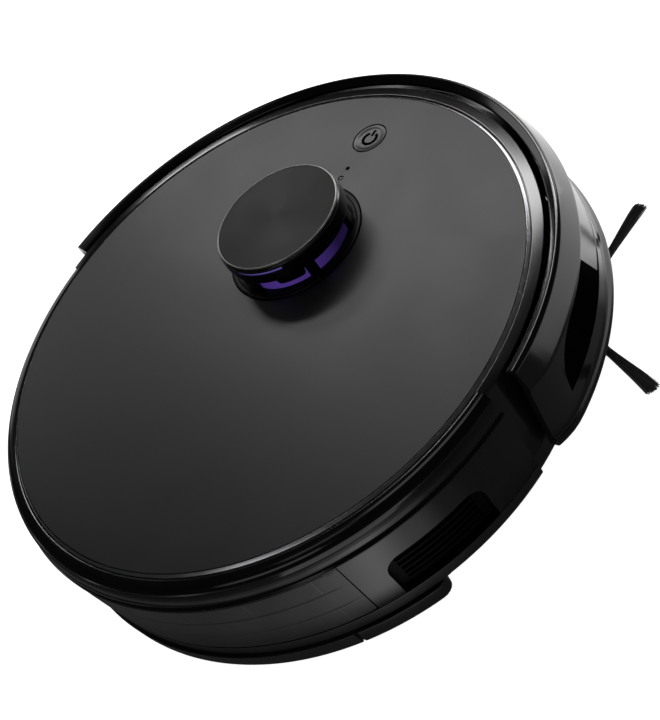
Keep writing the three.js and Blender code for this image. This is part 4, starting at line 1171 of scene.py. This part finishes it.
def studio_camera():
    """The camera at the photograph's viewing angle, tilt and distance."""
    back, roll = toward(113.59, 42.903), math.radians(-39.464)
    distance, target = 510.3, Vector((-73.3, 15.5, 80))
    level = back.cross(Vector((0, 0, -1))).normalized()
    upright = back.cross(level)
    right = level * math.cos(roll) + upright * math.sin(roll)
    up = upright * math.cos(roll) - level * math.sin(roll)
    lens = bpy.data.cameras.new("studio_camera")
    lens.sensor_width = 36
    lens.lens = 52.59
    lens.clip_start, lens.clip_end = 0.01, 50
    place = AXIS + (target + back * distance) * MM
    camera = linked("studio_camera", lens, place)
    camera.matrix_world = Matrix.Translation(place) @ Matrix((right, up, back)).transposed().to_4x4()
    bpy.context.scene.camera = camera


def floor_card(name, bearings, radii, brightness):
    """A card lying on the floor, seen only in reflections, as a photographer's black or white card is."""
    points, faces, light = [], [], []
    count = len(radii(0))
    for i, bearing in enumerate(bearings):
        for k, r in enumerate(radii(bearing)):
            points.append(at(bearing, r, 1) * MM)
            light.append(brightness(bearing, r))
            if i and k:
                here = i * count + k
                faces.append((here - count - 1, here - count, here, here - 1))
    data = bpy.data.meshes.new(name)
    data.from_pydata(points, [], faces)
    shade = data.attributes.new("brightness", "FLOAT", "POINT")
    shade.data.foreach_set("value", light)
    card = linked(name, data, AXIS)
    made = bpy.data.materials.new(name)
    made.use_nodes = True
    tree = made.node_tree
    tree.nodes.clear()
    glow, out = tree.nodes.new("ShaderNodeEmission"), tree.nodes.new("ShaderNodeOutputMaterial")
    read = tree.nodes.new("ShaderNodeAttribute")
    read.attribute_name = "brightness"
    tree.links.new(read.outputs["Fac"], glow.inputs["Strength"])
    tree.links.new(glow.outputs["Emission"], out.inputs["Surface"])
    data.materials.append(made)
    card.visible_camera = card.visible_diffuse = card.visible_shadow = card.visible_transmission = False


def along(stops, value):
    """A value read from a few (place, amount) stops, eased between them."""
    for (x0, y0), (x1, y1) in zip(stops, stops[1:]):
        if value <= x1:
            return y0 + (y1 - y0) * ease((value - x0) / (x1 - x0))
    return stops[-1][1]


def cards():
    """Dark cards at the right side and the rear, with a light gap between them, and a bright one in front.
    Nearest the robot the side card holds a painted contact shadow.
    """
    levels = [(26, 1.4), (44, 1.1), (52, 0.3), (58, 0.06), (100, 0.03), (108, 0.1), (116, 0.6), (126, 1.6),
              (134, 0.9), (142, 0.4), (152, 0.2), (168, 0.08), (190, 0.04), (240, 0.04), (262, 1.2)]
    edge = [(26, 300), (46, 330), (58, 500), (66, 700), (76, 1500), (105, 1500), (118, 300), (146, 300),
            (162, 1500), (262, 1500)]

    def radii(bearing):
        return [150, 184, 192, 215, 226, 250, along(edge, bearing)]

    def brightness(bearing, r):
        # Painted contact shadow: the card is dark nearest the robot, where the robot's reflections show the
        # floor beside it.
        past_painted_shadow = ease((r - 186) / 8)
        far = 0.7 * ease((r - 226) / 24) * ease((bearing - 90) / 10)
        return 0.03 + along(levels, bearing) * past_painted_shadow * (1 - far)

    floor_card("side_card", spread(26, 262, 1.5), radii, brightness)
    floor_card("front_card", spread(-30, 25, 5), lambda b: [330, 900], lambda b, r: 2.4)


def studio():
    studio_floor()
    studio_world()
    softbox("key_panel", -34, 42.0, 1.5, 1.45, 0.12, 17.5)
    softbox("side_panel", -64, 30, 1.5, 0.22, 0.10, 11.0)
    softbox("left_panel", -87, 17, 1.5, 0.5, 0.6, 1.2)
    softbox("front_panel", -10, 13, 1.5, 1.1, 0.45, 3.0)
    softbox("overhead", -142, 74, 1.5, 0.35, 0.3, 1.5)
    softbox("top_panel", -50, 78, 1.5, 0.5, 0.4, 1.2)
    softbox("rear_panel", 165, 40, 1.8, 0.9, 0.5, 0.9)
    cards()
    studio_camera()
    bpy.context.scene.view_settings.view_transform = "Standard"


lid()
button()
shell()
pan()
grille("grille_right", "exhaust_grille_right", VENT[0] - 1.6, VENT[1] + 1.6)
grille("grille_left", "exhaust_grille_left", 358.4 - VENT[1], 361.6 - VENT[0])
cover()
bumper()
guard()
cap()
head()
for side_name in ("left", "right"):
    tyre(side_name)
side_brush()
roller()
mop()
pad()
kept_nodes()
studio()

bpy.context.view_layer.update()
